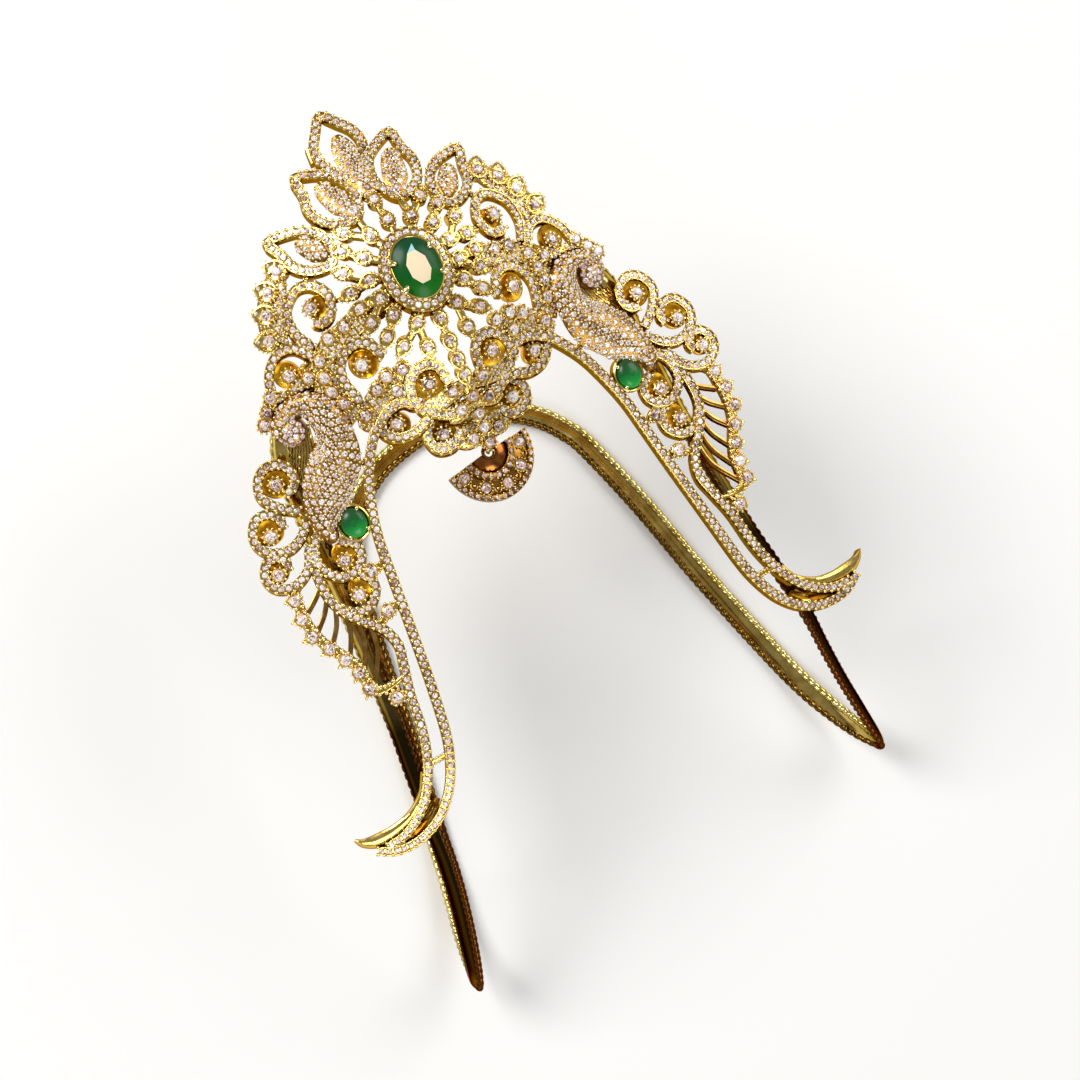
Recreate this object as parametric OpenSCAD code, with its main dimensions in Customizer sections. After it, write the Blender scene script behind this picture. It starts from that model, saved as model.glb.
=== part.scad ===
// Armlet for the upper arm: a rigid rope-edged band bent into a slanting loop, with a pierced
// ornament of stone-set ribbons soldered over its front. It lies on the back of the band with
// the ornament upward: +Y points to the crown, +Z out of the ornament, zero height is the table.
// Places are read as if the ornament lay flat, and front(x, y) lifts them onto its curved face.

/* [Band] */
// Width over the two rope edges
band_w = 3.8; // [3:0.1:5]
// Thickness at the rope edges
band_t = 1.7; // [1.2:0.1:2.4]

/* [Ornament] */
// Width of the ribbons that carry a row of small stones
ribbon_w = 1.35; // [1:0.05:1.8]
// Depth of the ribbons from face to back
ribbon_d = 1.8; // [1.2:0.1:2.6]
// Height that the middle of the rosette stands above the general curve
dome_h = 12; // [6:0.5:14]
// Reach of that rise from its middle
dome_r = 13; // [10:0.5:16]
// Height of the general curve beside the rosette
face_h = 47.2; // [40:0.1:52]

/* [Stones] */
// Length of the oval centre stone
centre_l = 8.2; // [7:0.1:9]
// Width of the oval centre stone
centre_w = 6.4; // [5:0.1:7]
// Length of the oval stone at the foot of each bird
side_l = 4.1; // [3:0.1:5]
// Width of that stone
side_w = 3.3; // [2.5:0.1:4]
// Radius of the round stones in the rays
ray_r = 0.68; // [0.5:0.02:0.9]
// Radius of the round stones in scrolls, leaves and wings
round_r = 0.84; // [0.6:0.02:1.1]

/* [Drop] */
// Radius of the fan-shaped drop
fan_r = 6.7; // [6:0.1:10]
// Opening angle of the fan
fan_angle = 178; // [120:1:190]

/* [View] */
// Sub-part to show

/* [Hidden] */
// How far the drawing's zero lies in front of the middle of the whole length
mid_y = 12.7;
gap = 0.06;
gold = [0.86, 0.66, 0.25];
clear = [0.95, 0.92, 0.92];
green = [0.05, 0.45, 0.2];

// the curved face and small helpers
// height of the ornament's face: a gentle slope and side-to-side curve, the rosette's rise,
// and a fall toward the leg tips
function front(x, y) =
    face_h + 0.19 * y - 0.0019 * x * x
    + dome_h * exp(-(x * x + (y - 20) * (y - 20)) / (2 * dome_r * dome_r))
    - 0.008 * pow(max(0, -24 - y), 2);
function slope_x(x, y) = (front(x + 0.1, y) - front(x - 0.1, y)) / 0.2;
function slope_y(x, y) = (front(x, y + 0.1) - front(x, y - 0.1)) / 0.2;
function unit(v) = v / max(norm(v), 0.0001);
function turn(v) = [-v.y, v.x];
function clampi(i, n) = max(0, min(n - 1, i));
// direction of a path at point i
function along(p, i, closed) =
    closed ? unit(p[(i + 1) % len(p)] - p[(i + len(p) - 1) % len(p)])
    : unit(p[clampi(i + 1, len(p))] - p[clampi(i - 1, len(p))]);
// skin over a row of rings that all have the same number of points
module skin(rings, closed = false) {
    m = len(rings[0]);
    n = len(rings);
    spans = closed ? n : n - 1;
    walls = [for (i = [0:spans - 1]) for (j = [0:m - 1])
        let (a = i * m + j, b = i * m + (j + 1) % m,
            c = ((i + 1) % n) * m + (j + 1) % m, d = ((i + 1) % n) * m + j)
        each [[a, d, c], [a, c, b]]];
    caps = closed ? [] : concat(
        [for (k = [1:m - 2]) [0, k, k + 1]],
        [for (k = [1:m - 2]) [(n - 1) * m, (n - 1) * m + k + 1, (n - 1) * m + k]]);
    polyhedron([for (r = rings) each r], concat(walls, caps), convexity = 6);
}

// strip along a flat path, laid on the face: points [x, y, width], from depth top to depth low
module strip(p, top = 0, low = ribbon_d, closed = false) {
    flat = [for (q = p) [q[0], q[1]]];
    skin([for (i = [0:len(p) - 1])
        let (q = turn(along(flat, i, closed)) * p[i][2] / 2, l = flat[i] + q, r = flat[i] - q)
        [[l.x, l.y, front(l.x, l.y) - low], [l.x, l.y, front(l.x, l.y) - top],
            [r.x, r.y, front(r.x, r.y) - top], [r.x, r.y, front(r.x, r.y) - low]]], closed);
}

// the same with one width
module ribbon(p, w = ribbon_w, top = 0, low = ribbon_d, closed = false) {
    strip([for (q = p) [q.x, q.y, w]], top, low, closed);
}

// domed strip: p = path, w = half widths, rise = height of its back above the edges
module domed(p, w, rise, low) {
    skin([for (i = [0:len(p) - 1])
        let (q = turn(along(p, i, false)) * w[i])
        [for (k = [[1, -low], [1, 0], [0, rise], [-1, 0], [-1, -low]])
            let (s = p[i] + q * k[0]) [s.x, s.y, front(s.x, s.y) + k[1] * min(1, 0.35 + w[i] / 3)]]]);
}

// stands its child square to the face, the face first lowered by depth and the child then lifted
module on_face(x, y, depth = 0, lift = 0) {
    translate([x, y, front(x, y) - depth])
        rotate([asin(slope_y(x, y) / norm([slope_x(x, y), slope_y(x, y), 1])), atan(-slope_x(x, y)), 0])
            translate([0, 0, lift]) children();
}

module both() {
    children();
    mirror([1, 0, 0]) children();
}

// stone cut round: girdle, eight crown facets and a flat table; the back is hidden in its seat
module round_stone(r) {
    cylinder(r1 = r, r2 = r * 0.6, h = r * 0.42, $fn = 8);
}

// tables, all in mm; only the +X side is written where a shape comes in mirrored pairs
// rays: inner pear [x, y, list of [x, y] of the outer pears it feeds]
rays = [
    [3.1, 26.4, [[3.3, 30.9], [5.8, 28.8]]],
    [5.3, 24.3, [[7.3, 26.7]]],
    [6.1, 21.3, [[9, 21.3], [8.6, 24.1]]],
    [6, 18.5, [[8.9, 18.9], [8.4, 16.6]]],
    [5.4, 15.9, [[7.4, 14]]],
    [3, 13.6, [[5.9, 12], [3.1, 10.4]]]];
// upright rays on the middle line, y only
ray_line = [31, 27.3, 12.8, 9.9, 7.5, 5.5];
// petals: outlines of their edge ribbons, round from the foot to the point and back
petal_a = [[0, 32], [1.2, 34.2], [2.5, 37.6], [3.25, 40.4], [2.9, 42.6], [1.6, 44.5], [0, 45.6]];
petal_b = [[3.4, 29.8], [2, 31.9], [1.6, 34.2], [2.5, 36.9], [4.2, 38.6], [7.2, 39.3], [7.6, 37.2],
    [8.1, 34.9], [7.7, 32.8], [6.4, 30.9]];
petal_c = [[9.2, 26.2], [8.1, 28.2], [8.5, 30.6], [10.1, 32.5], [12.3, 33.5], [14.5, 33.4], [14.2, 31.4],
    [13.6, 28.9], [11.8, 26.9]];
// filled leaves inside the petals: [foot, tip, half width]
leaves = [[[0, 34.8], [0, 43.4], 1.85], [[3.5, 31.6], [5, 37.1], 1.55], [[9.7, 27.8], [11.1, 31.4], 1.15]];
// pointed stone-set leaves on the shoulder: [x, y, direction of the point]
tips = [[15.7, 29.7, 62], [18.1, 27.9, 56], [19.7, 25.4, 43], [21, 22.3, 27]];
// scrolls and other ribbons: [face depth, points]
scrolls = [
    [0, [[16.4, 18.2], [17.6, 21.2], [17.2, 24.2], [15, 26], [12.9, 25.4], [11.6, 23], [12.2, 20.8],
        [13.6, 20.2], [14.9, 20.9]]],
    [0.1, [[16.9, 17.4], [18.6, 19.8], [21, 20.3], [23.2, 18.5], [24.1, 15.9]]],
    [0, [[9, 12.4], [10, 14.8], [12, 15.7], [14, 14.8], [14.9, 12.5], [14.1, 9]]],
    [0, [[2.5, 5.4], [3, 8], [5, 8.9], [7, 8], [7.7, 6.2], [7.5, 4.7]]],
    [0.7, [[6.7, 3], [9.2, 2.4], [11.8, 2.9], [13.5, 4.9]]],
    [0.1, [[7.6, 4.9], [9.2, 6.4], [11.6, 6.3], [13.7, 5.2]]],
    [2.4, [[3.2, 0.2], [4.8, -1.3], [7, -0.9], [7.8, 0.8], [7.3, 2.2], [5.9, 3.1]]],
    [1.1, [[7.5, 4.9], [6.2, 3.6], [4.5, 2.5], [2.4, 1.7]]],
    [0, [[28, 1], [30.5, 2.9], [31.9, 5.2], [31.2, 7.4], [29.3, 8.4], [27.2, 7.5], [26.6, 5.7], [27.3, 4.3],
        [28.7, 3.9]]],
    [0.1, [[28, -0.6], [29.8, -2.2], [32.2, -2.8], [34.7, -1.7], [35.6, 0.6], [34.3, 2.8], [32.3, 2.9],
        [31.1, 1.6], [31.2, 0.2]]],
    [0, [[29.3, -3.6], [30.9, -6.3], [33.6, -7.5], [36, -6.6], [36.7, -4.6], [35.6, -2.9], [34, -2.8],
        [33.1, -3.9], [33.3, -5.1]]],
    [0, [[27.2, -2.4], [29, -4.6], [29.2, -7.4], [27.3, -9.6], [25, -9.7], [23.5, -8.2], [23.7, -6.2],
        [25.5, -5.2]]],
    [0.1, [[29.2, -4.6], [30.3, -8], [30.2, -11.9], [28.4, -14.4], [26, -15], [24.1, -13.4], [24, -11.5],
        [25.1, -10.4]]]];
// the two stone lines of each leg
inner_line = [[13.6, 5.6], [15.7, 3.3], [17.6, 0.5], [19.2, -3.4], [20.3, -7.2], [21, -11.5],
    [22.1, -19], [23.6, -28.5], [25, -35.6], [26.7, -40], [28.8, -43.1], [31.6, -45.4], [35.2, -46.6],
    [39, -46.5], [42.5, -43.9]];
outer_line = [[29.9, -13.2], [28, -15.9], [25.8, -18.5], [25, -21.4], [25.7, -24.3], [26.8, -28.2],
    [27.7, -33.4], [29, -37.3], [31, -40.8], [33.6, -43.4], [37, -44.8], [40.4, -44.6], [43, -42.6]];
leg_rim = [[30.4, -38.4], [31.9, -41], [34.5, -42.9], [37.6, -43.5], [40.6, -43.1], [43, -42]];
trough = [[30.2, -42.6], [32.4, -44.4], [34.7, -45], [37.5, -45.2], [40.2, -44.8], [42.2, -43.6]];
trough_w = [0.9, 1.6, 2.3, 2.6, 2.2, 0.7];
// wing: strip under its stones [x, y, width], ribs [foot, middle, end] and stones [x, y]
wing_edge = [[31.6, -7.1, 0.9], [33.9, -8.3, 1.3], [34.5, -10.4, 2.1], [34.6, -13, 2.1], [33.9, -16.2, 2.1],
    [32.5, -18.8, 2.1], [31.3, -21.4, 2.1], [31, -24.9, 2.3], [29.2, -26, 0.9], [26.4, -25.6, 0.9]];
ribs = [[[30.4, -9], [31.9, -10.2], [33.8, -11.4]],
    [[30.3, -10.6], [31.8, -12.6], [33.8, -14.3]], [[30, -12.4], [31.2, -14.9], [33, -17]],
    [[29.3, -14.1], [30, -16.8], [31.6, -19.6]], [[28.3, -15.6], [28.9, -18.8], [30.6, -22]],
    [[27.1, -16.9], [27.8, -20.6], [30.4, -24.6]]];
wing_places = [[34.6, -9.2], [35, -11.9], [34.9, -14.7], [33.6, -17.3], [32.4, -19.7], [31.6, -22.2],
    [31.4, -24.8], [28.6, -27.7]];
// round stones in scrolls and fans: [x, y, face depth]
scroll_places = [[14.3, 22.8, 0], [20.9, 17, 0], [11.9, 12.9, 0], [5, 6.6, 0], [5.6, 0.7, 2.4],
    [11, 4.5, 0.7], [29.3, 5.7, 0], [33.3, 0, 0], [34.9, -5.1, 0], [25.9, -7.8, 0], [26.5, -12.8, 0],
    [23.4, -10.8, 0], [24, -16.7, 0]];
// round stones of the cluster under the rosette and of the shoulder: [x, y, face depth]
cluster_places = [[2.4, 4.4, 0.3], [2.2, 2, 1], [2, -1.7, 2.8], [9.2, 7.8, 0], [7.4, 9.7, 0],
    [9.7, 10, 0], [11.5, 9.3, 0], [14.3, 7.3, 0], [11.7, 18.2, 0.2], [14.1, 18.1, 0.2], [16.4, 16.4, 0.2],
    [18.7, 15.4, 0.2], [16.9, 14.2, 0.2], [16.9, 12.3, 0.2], [16.1, 10.1, 0], [24.4, 15.9, 0.2],
    [25.7, 14.5, 0.2], [26.8, 13.3, 0.2]];
cluster_line = [[0, 2.8, 0.8], [0, 0.7, 1.8], [0, -1.1, 2.6], [0, -3, 3.4]];
// floors of the scrolls and plates between them: [face depth, back depth, points [x, y, width]]
floors = [
    [0.3, 1.7, [[11.8, 21.8, 2], [13.4, 22.2, 3], [15.2, 22.9, 2.2]]],
    [0.3, 1.7, [[24, 16.8, 2], [22.2, 17.2, 3.4], [20.4, 17, 3]]],
    [0.3, 1.7, [[9.6, 12.6, 2.6], [11.6, 12.9, 3.8], [13.6, 12.6, 3]]],
    [0.4, 1.7, [[5, 8.8, 3.4], [5.1, 7, 4.6], [5.2, 5, 4.4]]],
    [0.9, 2.3, [[8.6, 3.6, 1.2], [10.4, 3.8, 2.6], [12.6, 4.4, 2.8]]],
    [2.6, 4, [[6, 3.2, 2.6], [5.6, 1.2, 3.8], [5.5, -0.6, 3]]],
    [0.2, 1.6, [[14.4, 30.5, 1.2], [16.4, 28.8, 3.2], [18.4, 26.2, 4.2], [19.9, 22.6, 3.8],
        [19.8, 20.1, 1.6]]],
    [0.4, 1.9, [[16, 15.6, 3], [16.9, 12.2, 4.2], [15.4, 7.8, 2.4]]],
    [0.2, 1.7, [[7, 9.9, 1.2], [8.2, 9.5, 2.4], [10.4, 8.4, 4.4], [14.3, 7.3, 2.8],
        [13.9, 5.5, 1.4]]],
    [0.6, 2.2, [[7.4, 4.2, 2], [5.4, 4.4, 2.8], [2.8, 4.4, 2.4], [0, 4.5, 1.7]]],
    [1.2, 3, [[4.2, 2, 1.6], [3.2, 1.9, 2.4], [1.9, 2.1, 2.4], [-0.2, 2.4, 1.2]]],
    [3, 4.4, [[4.4, -0.4, 2.2], [2.4, -1.2, 3], [-0.2, -1, 2.2]]],
    [1.4, 2.6, [[22.5, 11.2, 2.6], [24.2, 7.6, 4], [26.4, 4.4, 3]]]];
// strips that carry stones and tie the ribbons together
links = [
    [0.3, 1.6, [[20.7, -10.8, 0.8], [22.9, -10.8, 1.9], [24.5, -11.6, 1.7]]],
    [0.3, 1.6, [[21.7, -16.5, 1.1], [23.3, -16.7, 1.9], [26.2, -17.9, 0.9]]],
    [0.3, 1.6, [[26.6, -27.7, 1.3], [29.4, -27.7, 1.9]]],
    [0.3, 1.5, [[26, -38, 0.9], [29.3, -38, 0.9]]],
    [0.5, 1.7, [[16.4, 2.4, 0.9], [18.4, 2.7, 0.9]]],
    [0.4, 1.6, [[19.2, -4, 1.2], [20.8, -3.9, 1.2]]],
    [0.5, 1.5, [[13.4, 25.6, 0.7], [12.4, 27.5, 0.7]]],
    [0.2, 2, [[8.4, 18.2, 2], [11.2, 17.5, 3.4], [14.1, 17.3, 3.6], [16.4, 16.3, 2.4], [18.7, 15.4, 1.9],
        [21.5, 15.3, 1.3], [24.4, 15.6, 1.8], [25.8, 14.4, 1.9], [27, 13, 1.6]]],
    [1.4, 4, [[6.2, 2.8, 1.1], [6.5, 4.2, 1.1]]]];
// ties between the rays and the frames round them: [x, y, x, y]
ties = [[3.4, 31.6, 4.1, 33.4], [8, 27.8, 9.3, 28.6], [9.2, 25.2, 10.8, 26.9], [10, 21.6, 11.9, 22.2],
    [3.2, 9.6, 3.8, 8.4]];
// body of each bird: spine points and half widths, from the tail to the curled head
bird = [[25.8, -4.9], [25.9, -2.8], [24.6, 0], [22.4, 2.7], [20.1, 5.2], [19.1, 8.5], [19.6, 11.2],
    [21.1, 12.9], [23.2, 13.2], [25, 12.2], [25.6, 10.6]];
bird_w = [0.7, 1.9, 3.15, 3.6, 3.35, 2.4, 2.05, 1.55, 1.35, 1.2, 1];
// band: [x, y, height of its underside, angle of its outward side from +X], from the back round to the front
band = [
    [0, 10.8, 0, -90], [5, 10.3, 0, -90], [10, 9, 0, -90], [14.4, 6.6, 0, -90], [18, 3.4, 0, -89],
    [20.5, -0.3, 0, -88], [22.2, -4.3, 0, -87], [25.2, -17, 0, -85], [28, -32.5, 0, -83],
    [31.6, -49, 0, -77], [33.5, -57, 0.85, -68], [35.2, -62.5, 2.15, -52], [36.5, -66.6, 4.15, -33],
    [37.3, -69, 6.35, -16], [37.5, -69.8, 8.35, -6], [37, -68.2, 10.75, 0], [35.9, -64.2, 14.35, 4],
    [34.5, -58.6, 18.75, 9], [33.3, -52.6, 23.35, 15], [32.4, -46, 27.55, 24], [31.2, -38, 29.95, 34],
    [30, -30, 32.05, 42], [28.4, -14, 36.95, 51], [27.6, 0, 41.75, 54], [27, 7, 44.65, 58],
    [25.2, 11.2, 46.85, 66], [21, 14.7, 49.15, 76], [15, 17.2, 52.35, 84], [7.5, 18.9, 55.45, 88],
    [0, 19.4, 56.45, 90]];
// section of the band: [across, outward] as shares of its width and thickness
band_cut = [[-0.5, 0], [-0.36, -0.5], [0, -0.22], [0.36, -0.5], [0.5, 0], [0, 0.5]];

// pieces of the gold work
module band_loop() {
    half = band;
    n = len(half);
    loop = concat(half, [for (i = [n - 2:-1:1]) [-half[i][0], half[i][1], half[i][2], 180 - half[i][3]]]);
    at = [for (q = loop) [q[0], q[1], q[2] + band_t / 2]];
    skin([for (i = [0:len(loop) - 1])
        let (m = len(loop), t = unit(at[(i + 1) % m] - at[(i + m - 1) % m]),
            o = [cos(loop[i][3]), 0, sin(loop[i][3])],
            out = unit(o - t * (o * t)), wide = cross(out, t))
        [for (c = band_cut) at[i] + wide * c[0] * band_w + out * c[1] * band_t]], true);
}

// one ray: pear-shaped plates one after another from the halo outward, around the points of p
module ray(p, from = 0.62) {
    a = p[0];
    b = p[len(p) - 1];
    mid = [0, 19.6];
    d = unit(b - a);
    rest = len(p) < 2 ? unit(a - mid) : d;
    ends = [for (k = [0:len(p) - 1]) each k == 0
        ? [[a.x, a.y, 2], [a.x + rest.x * 1.5, a.y + rest.y * 1.5, 0.8]]
        : [[b.x - d.x * 0.3, b.y - d.y * 0.3, 1.95], [b.x + d.x * 1.6, b.y + d.y * 1.6, 0.7]]];
    foot = mid + (a - mid) * from;
    strip(concat([[foot.x, foot.y, 0.7]], ends), 0, 1.3);
}

module branch(a, b) {
    d = unit(b - a);
    strip([[a.x + d.x * 0.8, a.y + d.y * 0.8, 0.6], [b.x - d.x * 1.3, b.y - d.y * 1.3, 0.8],
        [b.x, b.y, 1.95], [b.x + d.x * 1.6, b.y + d.y * 1.6, 0.7]], 0.02, 1.32);
}

module ray_work() {
    strip([[0, 24.6, 0.8], [0, 27.2, 2], [0, 29.2, 0.7], [0, 31, 2], [0, 33, 0.9]], 0, 1.3);
    strip([[0, 4.2, 1.2], [0, 5.5, 1.9], [0, 6.5, 0.9], [0, 7.5, 1.9], [0, 8.6, 0.8], [0, 9.9, 2],
        [0, 11.3, 0.7], [0, 12.9, 2], [0, 15.6, 0.8]], 0, 1.3);
    both() for (r = rays) {
        ray([[r[0], r[1]], r[2][0]]);
        if (len(r[2]) > 1) branch([r[0], r[1]], r[2][1]);
    }
    both() for (t = ties) ribbon([[t[0], t[1]], [t[2], t[3]]], 0.7, 0.3, 1.2);
}

module halo() {
    ring = [for (k = [0:15])
        [(centre_w / 2 + 0.95) * cos(22.5 * k), 19.5 + (centre_l / 2 + 0.9) * sin(22.5 * k)]];
    ribbon(ring, 1.5, -0.9, 1.5, true);
    // floor under the centre stone
    on_face(0, 19.5, 0, -1.7) scale([centre_w + 1.6, centre_l + 1.6, 1]) cylinder(r = 0.5, h = 0.6, $fn = 8);
}

module leaf(foot, tip, w) {
    p = [for (t = [0, 0.3, 0.7, 1]) foot + (tip - foot) * t];
    domed(p, [for (k = [0.5, 1, 0.75, 0.1]) w * k], 0.5, 1.5);
}

module crown() {
    ribbon(concat(petal_a, [for (i = [len(petal_a) - 2:-1:1]) [-petal_a[i].x, petal_a[i].y]]), closed = true);
    both() ribbon(petal_b, top = 0.1, closed = true);
    both() ribbon(petal_c, top = 0.05, closed = true);
    leaf(leaves[0][0], leaves[0][1], leaves[0][2]);
    both() for (k = [1, 2]) leaf(leaves[k][0], leaves[k][1], leaves[k][2]);
    mirror([1, 0, 0]) ribbon([[3.3, 43.4], [3.7, 41]], 1, 1.4, 3.4);
}

// pointed leaf-shaped plate, its point along angle a
module tip_leaf(x, y, a) {
    on_face(x, y, 0, -1.3) rotate([0, 0, a]) hull() {
        cylinder(r = 1.15, h = 1.4, $fn = 6);
        translate([2.1, 0, 0]) cylinder(r = 0.2, h = 1.3, $fn = 3);
    }
}

// gold floor inside a scroll
module cup(x, y, r) {
    on_face(x, y, 0, -1.4) cylinder(r = r, h = 1.2, $fn = 6);
}

module bird_body() {
    difference() {
        domed(bird, bird_w, 1.7, 2);
        side_pocket(3);
    }
    on_face(24.1, 10.6, 0, -1.6) cylinder(r1 = 2.1, r2 = 1.5, h = 2.5, $fn = 8);
}

module leg() {
    ribbon(inner_line, ribbon_w, 0, 2.2);
    ribbon(outer_line, ribbon_w, 0, 2.2);
    ribbon(leg_rim, 0.7, 0.3, 2.4);
    // block that the leg is soldered to the band by
    strip([[30.9, -42.6, 1.6], [32.6, -45.6, 1.6]], 1.6, 4.6);
    skin([for (i = [0:len(trough) - 1])
        let (q = turn(along(trough, i, false)) * (trough_w[i] / 2), l = trough[i] + q, r = trough[i] - q)
        [[l.x, l.y, front(l.x, l.y) - 2.4], [l.x, l.y, front(l.x, l.y) - 1.1],
            [r.x, r.y, front(r.x, r.y) - 1.1], [r.x, r.y, front(r.x, r.y) - 2.4]]]);
}

module wing() {
    strip(wing_edge, 0.15, 1.7);
    for (r = ribs) ribbon(r, 0.55, 0.7, 1.6);
}

module bezel() {
    on_face(22.4, -3.9, 0, -1.5) difference() {
        scale([side_w + 1.2, side_l + 1.2, 1]) cylinder(r = 0.5, h = 1.9, $fn = 10);
        translate([0, 0, 0.6]) scale([side_w + 6 * gap, side_l + 6 * gap, 1])
            cylinder(r = 0.5, h = 3, $fn = 10);
    }
}

// room for the side stone and its setting in the bird's tail
module side_pocket(h) {
    on_face(22.4, -3.9, 0, -0.9) scale([side_w + 0.6, side_l + 0.6, 1]) cylinder(r = 0.5, h = h, $fn = 10);
}

module ornament() {
    ray_work();
    halo();
    crown();
    both() {
        for (s = scrolls) ribbon(s[1], ribbon_w, s[0], s[0] + ribbon_d);
        for (k = concat(floors, links)) strip(k[2], k[0], k[1]);
        for (t = tips) tip_leaf(t[0], t[1], t[2]);
        cup(29.2, 6, 2.3);
        cup(33.2, 0.6, 2);
        cup(34.9, -4.7, 1.7);
        cup(25.6, -7, 1.8);
        cup(25.7, -12, 1.8);
        bird_body();
        leg();
        wing();
        bezel();
    }
    strip([[0, 4.4, 1.9], [0, 2.2, 1.9]], 0.8, 2.8);
    strip([[0, 2.6, 1.5], [0, 0.2, 1.9]], 1.8, 3.6);
    strip([[0, 0.8, 1.3], [0, -1.8, 1.9]], 2.6, 4.4);
    strip([[0, -1.4, 1.3], [0, -3.9, 1.7]], 3.4, 5.1);
    eye();
}

module goldwork() {
    color(gold) translate([0, mid_y, 0]) {
        band_loop();
        ornament();
    }
}

// the drop: a shallow half cone with two raised stone rims, hung a little aslant by a ring
// that runs through its loop and through an eye behind the lowest stones
drop_at = [-0.4, -3.6, 43.6];
link_r = 0.8;
link_wire = 0.28;
ring_r = 1.15;
module drop_place() {
    translate([0, mid_y, 0]) translate(drop_at) rotate([4, 0, 6]) children();
}

// ring of round wire, flat on the XY plane
module wire_ring(r, wire) {
    rotate_extrude($fn = 10) translate([r, 0]) circle(r = wire, $fn = 5);
}

module eye() {
    translate(drop_at + [0, -0.2 + 2 * ring_r, -0.9]) {
        wire_ring(link_r, link_wire);
        translate([0, link_r, -0.1]) cylinder(r = 0.4, h = 4, $fn = 6);
    }
}

module fan_drop() {
    cut = [[1.1, -1.7], [1.1, -0.5], [3.25, -1.45], [3.4, -0.95], [4, -1.15], [4.1, -1.75], [5.9, -2.2],
        [6, -1.75], [fan_r - 0.1, -1.95], [fan_r, -3.2], [3.6, -2.5]];
    color(gold) drop_place() {
        skin([for (k = [0:10])
            let (a = -90 - fan_angle / 2 + fan_angle * k / 10)
            [for (c = cut) [c[0] * cos(a), c[0] * sin(a), c[1]]]]);
        translate([0, -0.2, -0.9]) wire_ring(link_r, link_wire);
    }
}

module drop_ring() {
    color(gold) translate([0, mid_y, 0]) translate(drop_at + [0, -0.2 + ring_r, -0.9])
        rotate([0, 90, 0]) wire_ring(ring_r, 0.2);
}

// stones
// faceted stone from rings [share of the half sizes, height]
module cut_stone(l, w, n, rings) {
    skin([for (r = rings) [for (k = [0:n - 1]) [r[0] * w / 2 * cos(360 * (k + 0.5) / n),
        r[0] * l / 2 * sin(360 * (k + 0.5) / n), r[1]]]]);
}

module centre_stone() {
    color(green) translate([0, mid_y, 0]) on_face(0, 19.5, 0, 0.9)
        cut_stone(centre_l, centre_w, 16, [[0.3, -1.9], [0.99, -0.2], [1, 0.1], [0.82, 0.75], [0.55, 1.1]]);
}

module side_stone() {
    color(green) translate([0, mid_y, 0]) on_face(22.4, -3.9, 0, 0.2)
        cut_stone(side_l, side_w, 10, [[0.8, -1], [1, -0.2], [0.97, 0.3], [0.78, 0.85], [0.4, 1.15]]);
}

module left_stone() {
    mirror([1, 0, 0]) side_stone();
}

module right_stone() {
    side_stone();
}

module stones_at(places, r, lift = gap + 0.05) {
    color(clear) translate([0, mid_y, 0]) for (s = places) on_face(s[0], s[1], s[2], lift) round_stone(r);
}

function mirrored(p) = concat(p, [for (s = p) [-s[0], s[1], s[2]]]);

module ray_stones() {
    stones_at([for (y = ray_line) [0, y, 0]], ray_r, 0.1 + gap);
    one = concat([for (r = rays) [r[0], r[1], 0]], [for (r = rays) for (o = r[2]) [o[0], o[1], 0]]);
    stones_at(mirrored(one), ray_r, 0.1 + gap);
}

module leaf_stones() {
    stones_at(mirrored([for (t = tips) [t[0], t[1], 0]]), round_r, 0.1 + gap);
}

module scroll_stones() {
    stones_at(mirrored(scroll_places), round_r);
}

module wing_stones() {
    stones_at(mirrored([for (s = wing_places) [s[0], s[1], 0]]), round_r);
}

module cluster_stones() {
    stones_at(mirrored(cluster_places), round_r * 0.9);
    stones_at(cluster_line, round_r);
}

module fan_stones() {
    color(clear) drop_place() for (k = [-2:2])
        rotate([0, 0, 38 * k]) translate([0, -5, -1.975 + gap]) rotate([14, 0, 0]) round_stone(0.8);
}

goldwork();
fan_drop();
drop_ring();
centre_stone();
left_stone();
right_stone();
ray_stones();
leaf_stones();
scroll_stones();
wing_stones();
cluster_stones();
fan_stones();
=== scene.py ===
import bpy
import numpy as np
from mathutils import Matrix


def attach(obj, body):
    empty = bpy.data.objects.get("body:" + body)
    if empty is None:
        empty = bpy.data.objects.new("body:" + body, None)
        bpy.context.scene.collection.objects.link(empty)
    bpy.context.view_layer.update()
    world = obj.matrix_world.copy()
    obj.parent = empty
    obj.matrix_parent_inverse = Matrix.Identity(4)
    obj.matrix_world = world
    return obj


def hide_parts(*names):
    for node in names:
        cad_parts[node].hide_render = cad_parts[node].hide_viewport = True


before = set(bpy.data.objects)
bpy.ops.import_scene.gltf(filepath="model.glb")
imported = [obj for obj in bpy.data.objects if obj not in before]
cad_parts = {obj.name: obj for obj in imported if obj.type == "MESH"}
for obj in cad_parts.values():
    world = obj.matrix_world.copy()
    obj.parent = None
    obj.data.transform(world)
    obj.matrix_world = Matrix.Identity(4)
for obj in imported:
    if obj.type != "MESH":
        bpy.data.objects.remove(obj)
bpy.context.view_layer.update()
mm = 0.001
midY = 12.7  # the drawing's zero lies this far in front of the middle of the whole length
seeded = np.random.default_rng(11)
east = (1.0, 0.0)  # x direction of the drawing


# the curved face that the ornament's flat drawing is lifted on, in mm
faceShape = {"height": 47.2, "slope": 0.19, "sideFall": 0.0019, "domeHeight": 12, "domeReach": 13,
             "domeY": 20, "tipFall": 0.008, "tipFallFrom": -24}


def faceHeight(x, y):
    # a plane that rises with y, minus a parabola in x, plus a round hill,
    # minus a parabola toward the leg tips
    f = faceShape
    hill = f["domeHeight"] * np.exp(-(x ** 2 + (y - f["domeY"]) ** 2) / (2 * f["domeReach"] ** 2))
    return (f["height"] + f["slope"] * y - f["sideFall"] * x ** 2 + hill
            - f["tipFall"] * np.maximum(0, f["tipFallFrom"] - y) ** 2)


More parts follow.
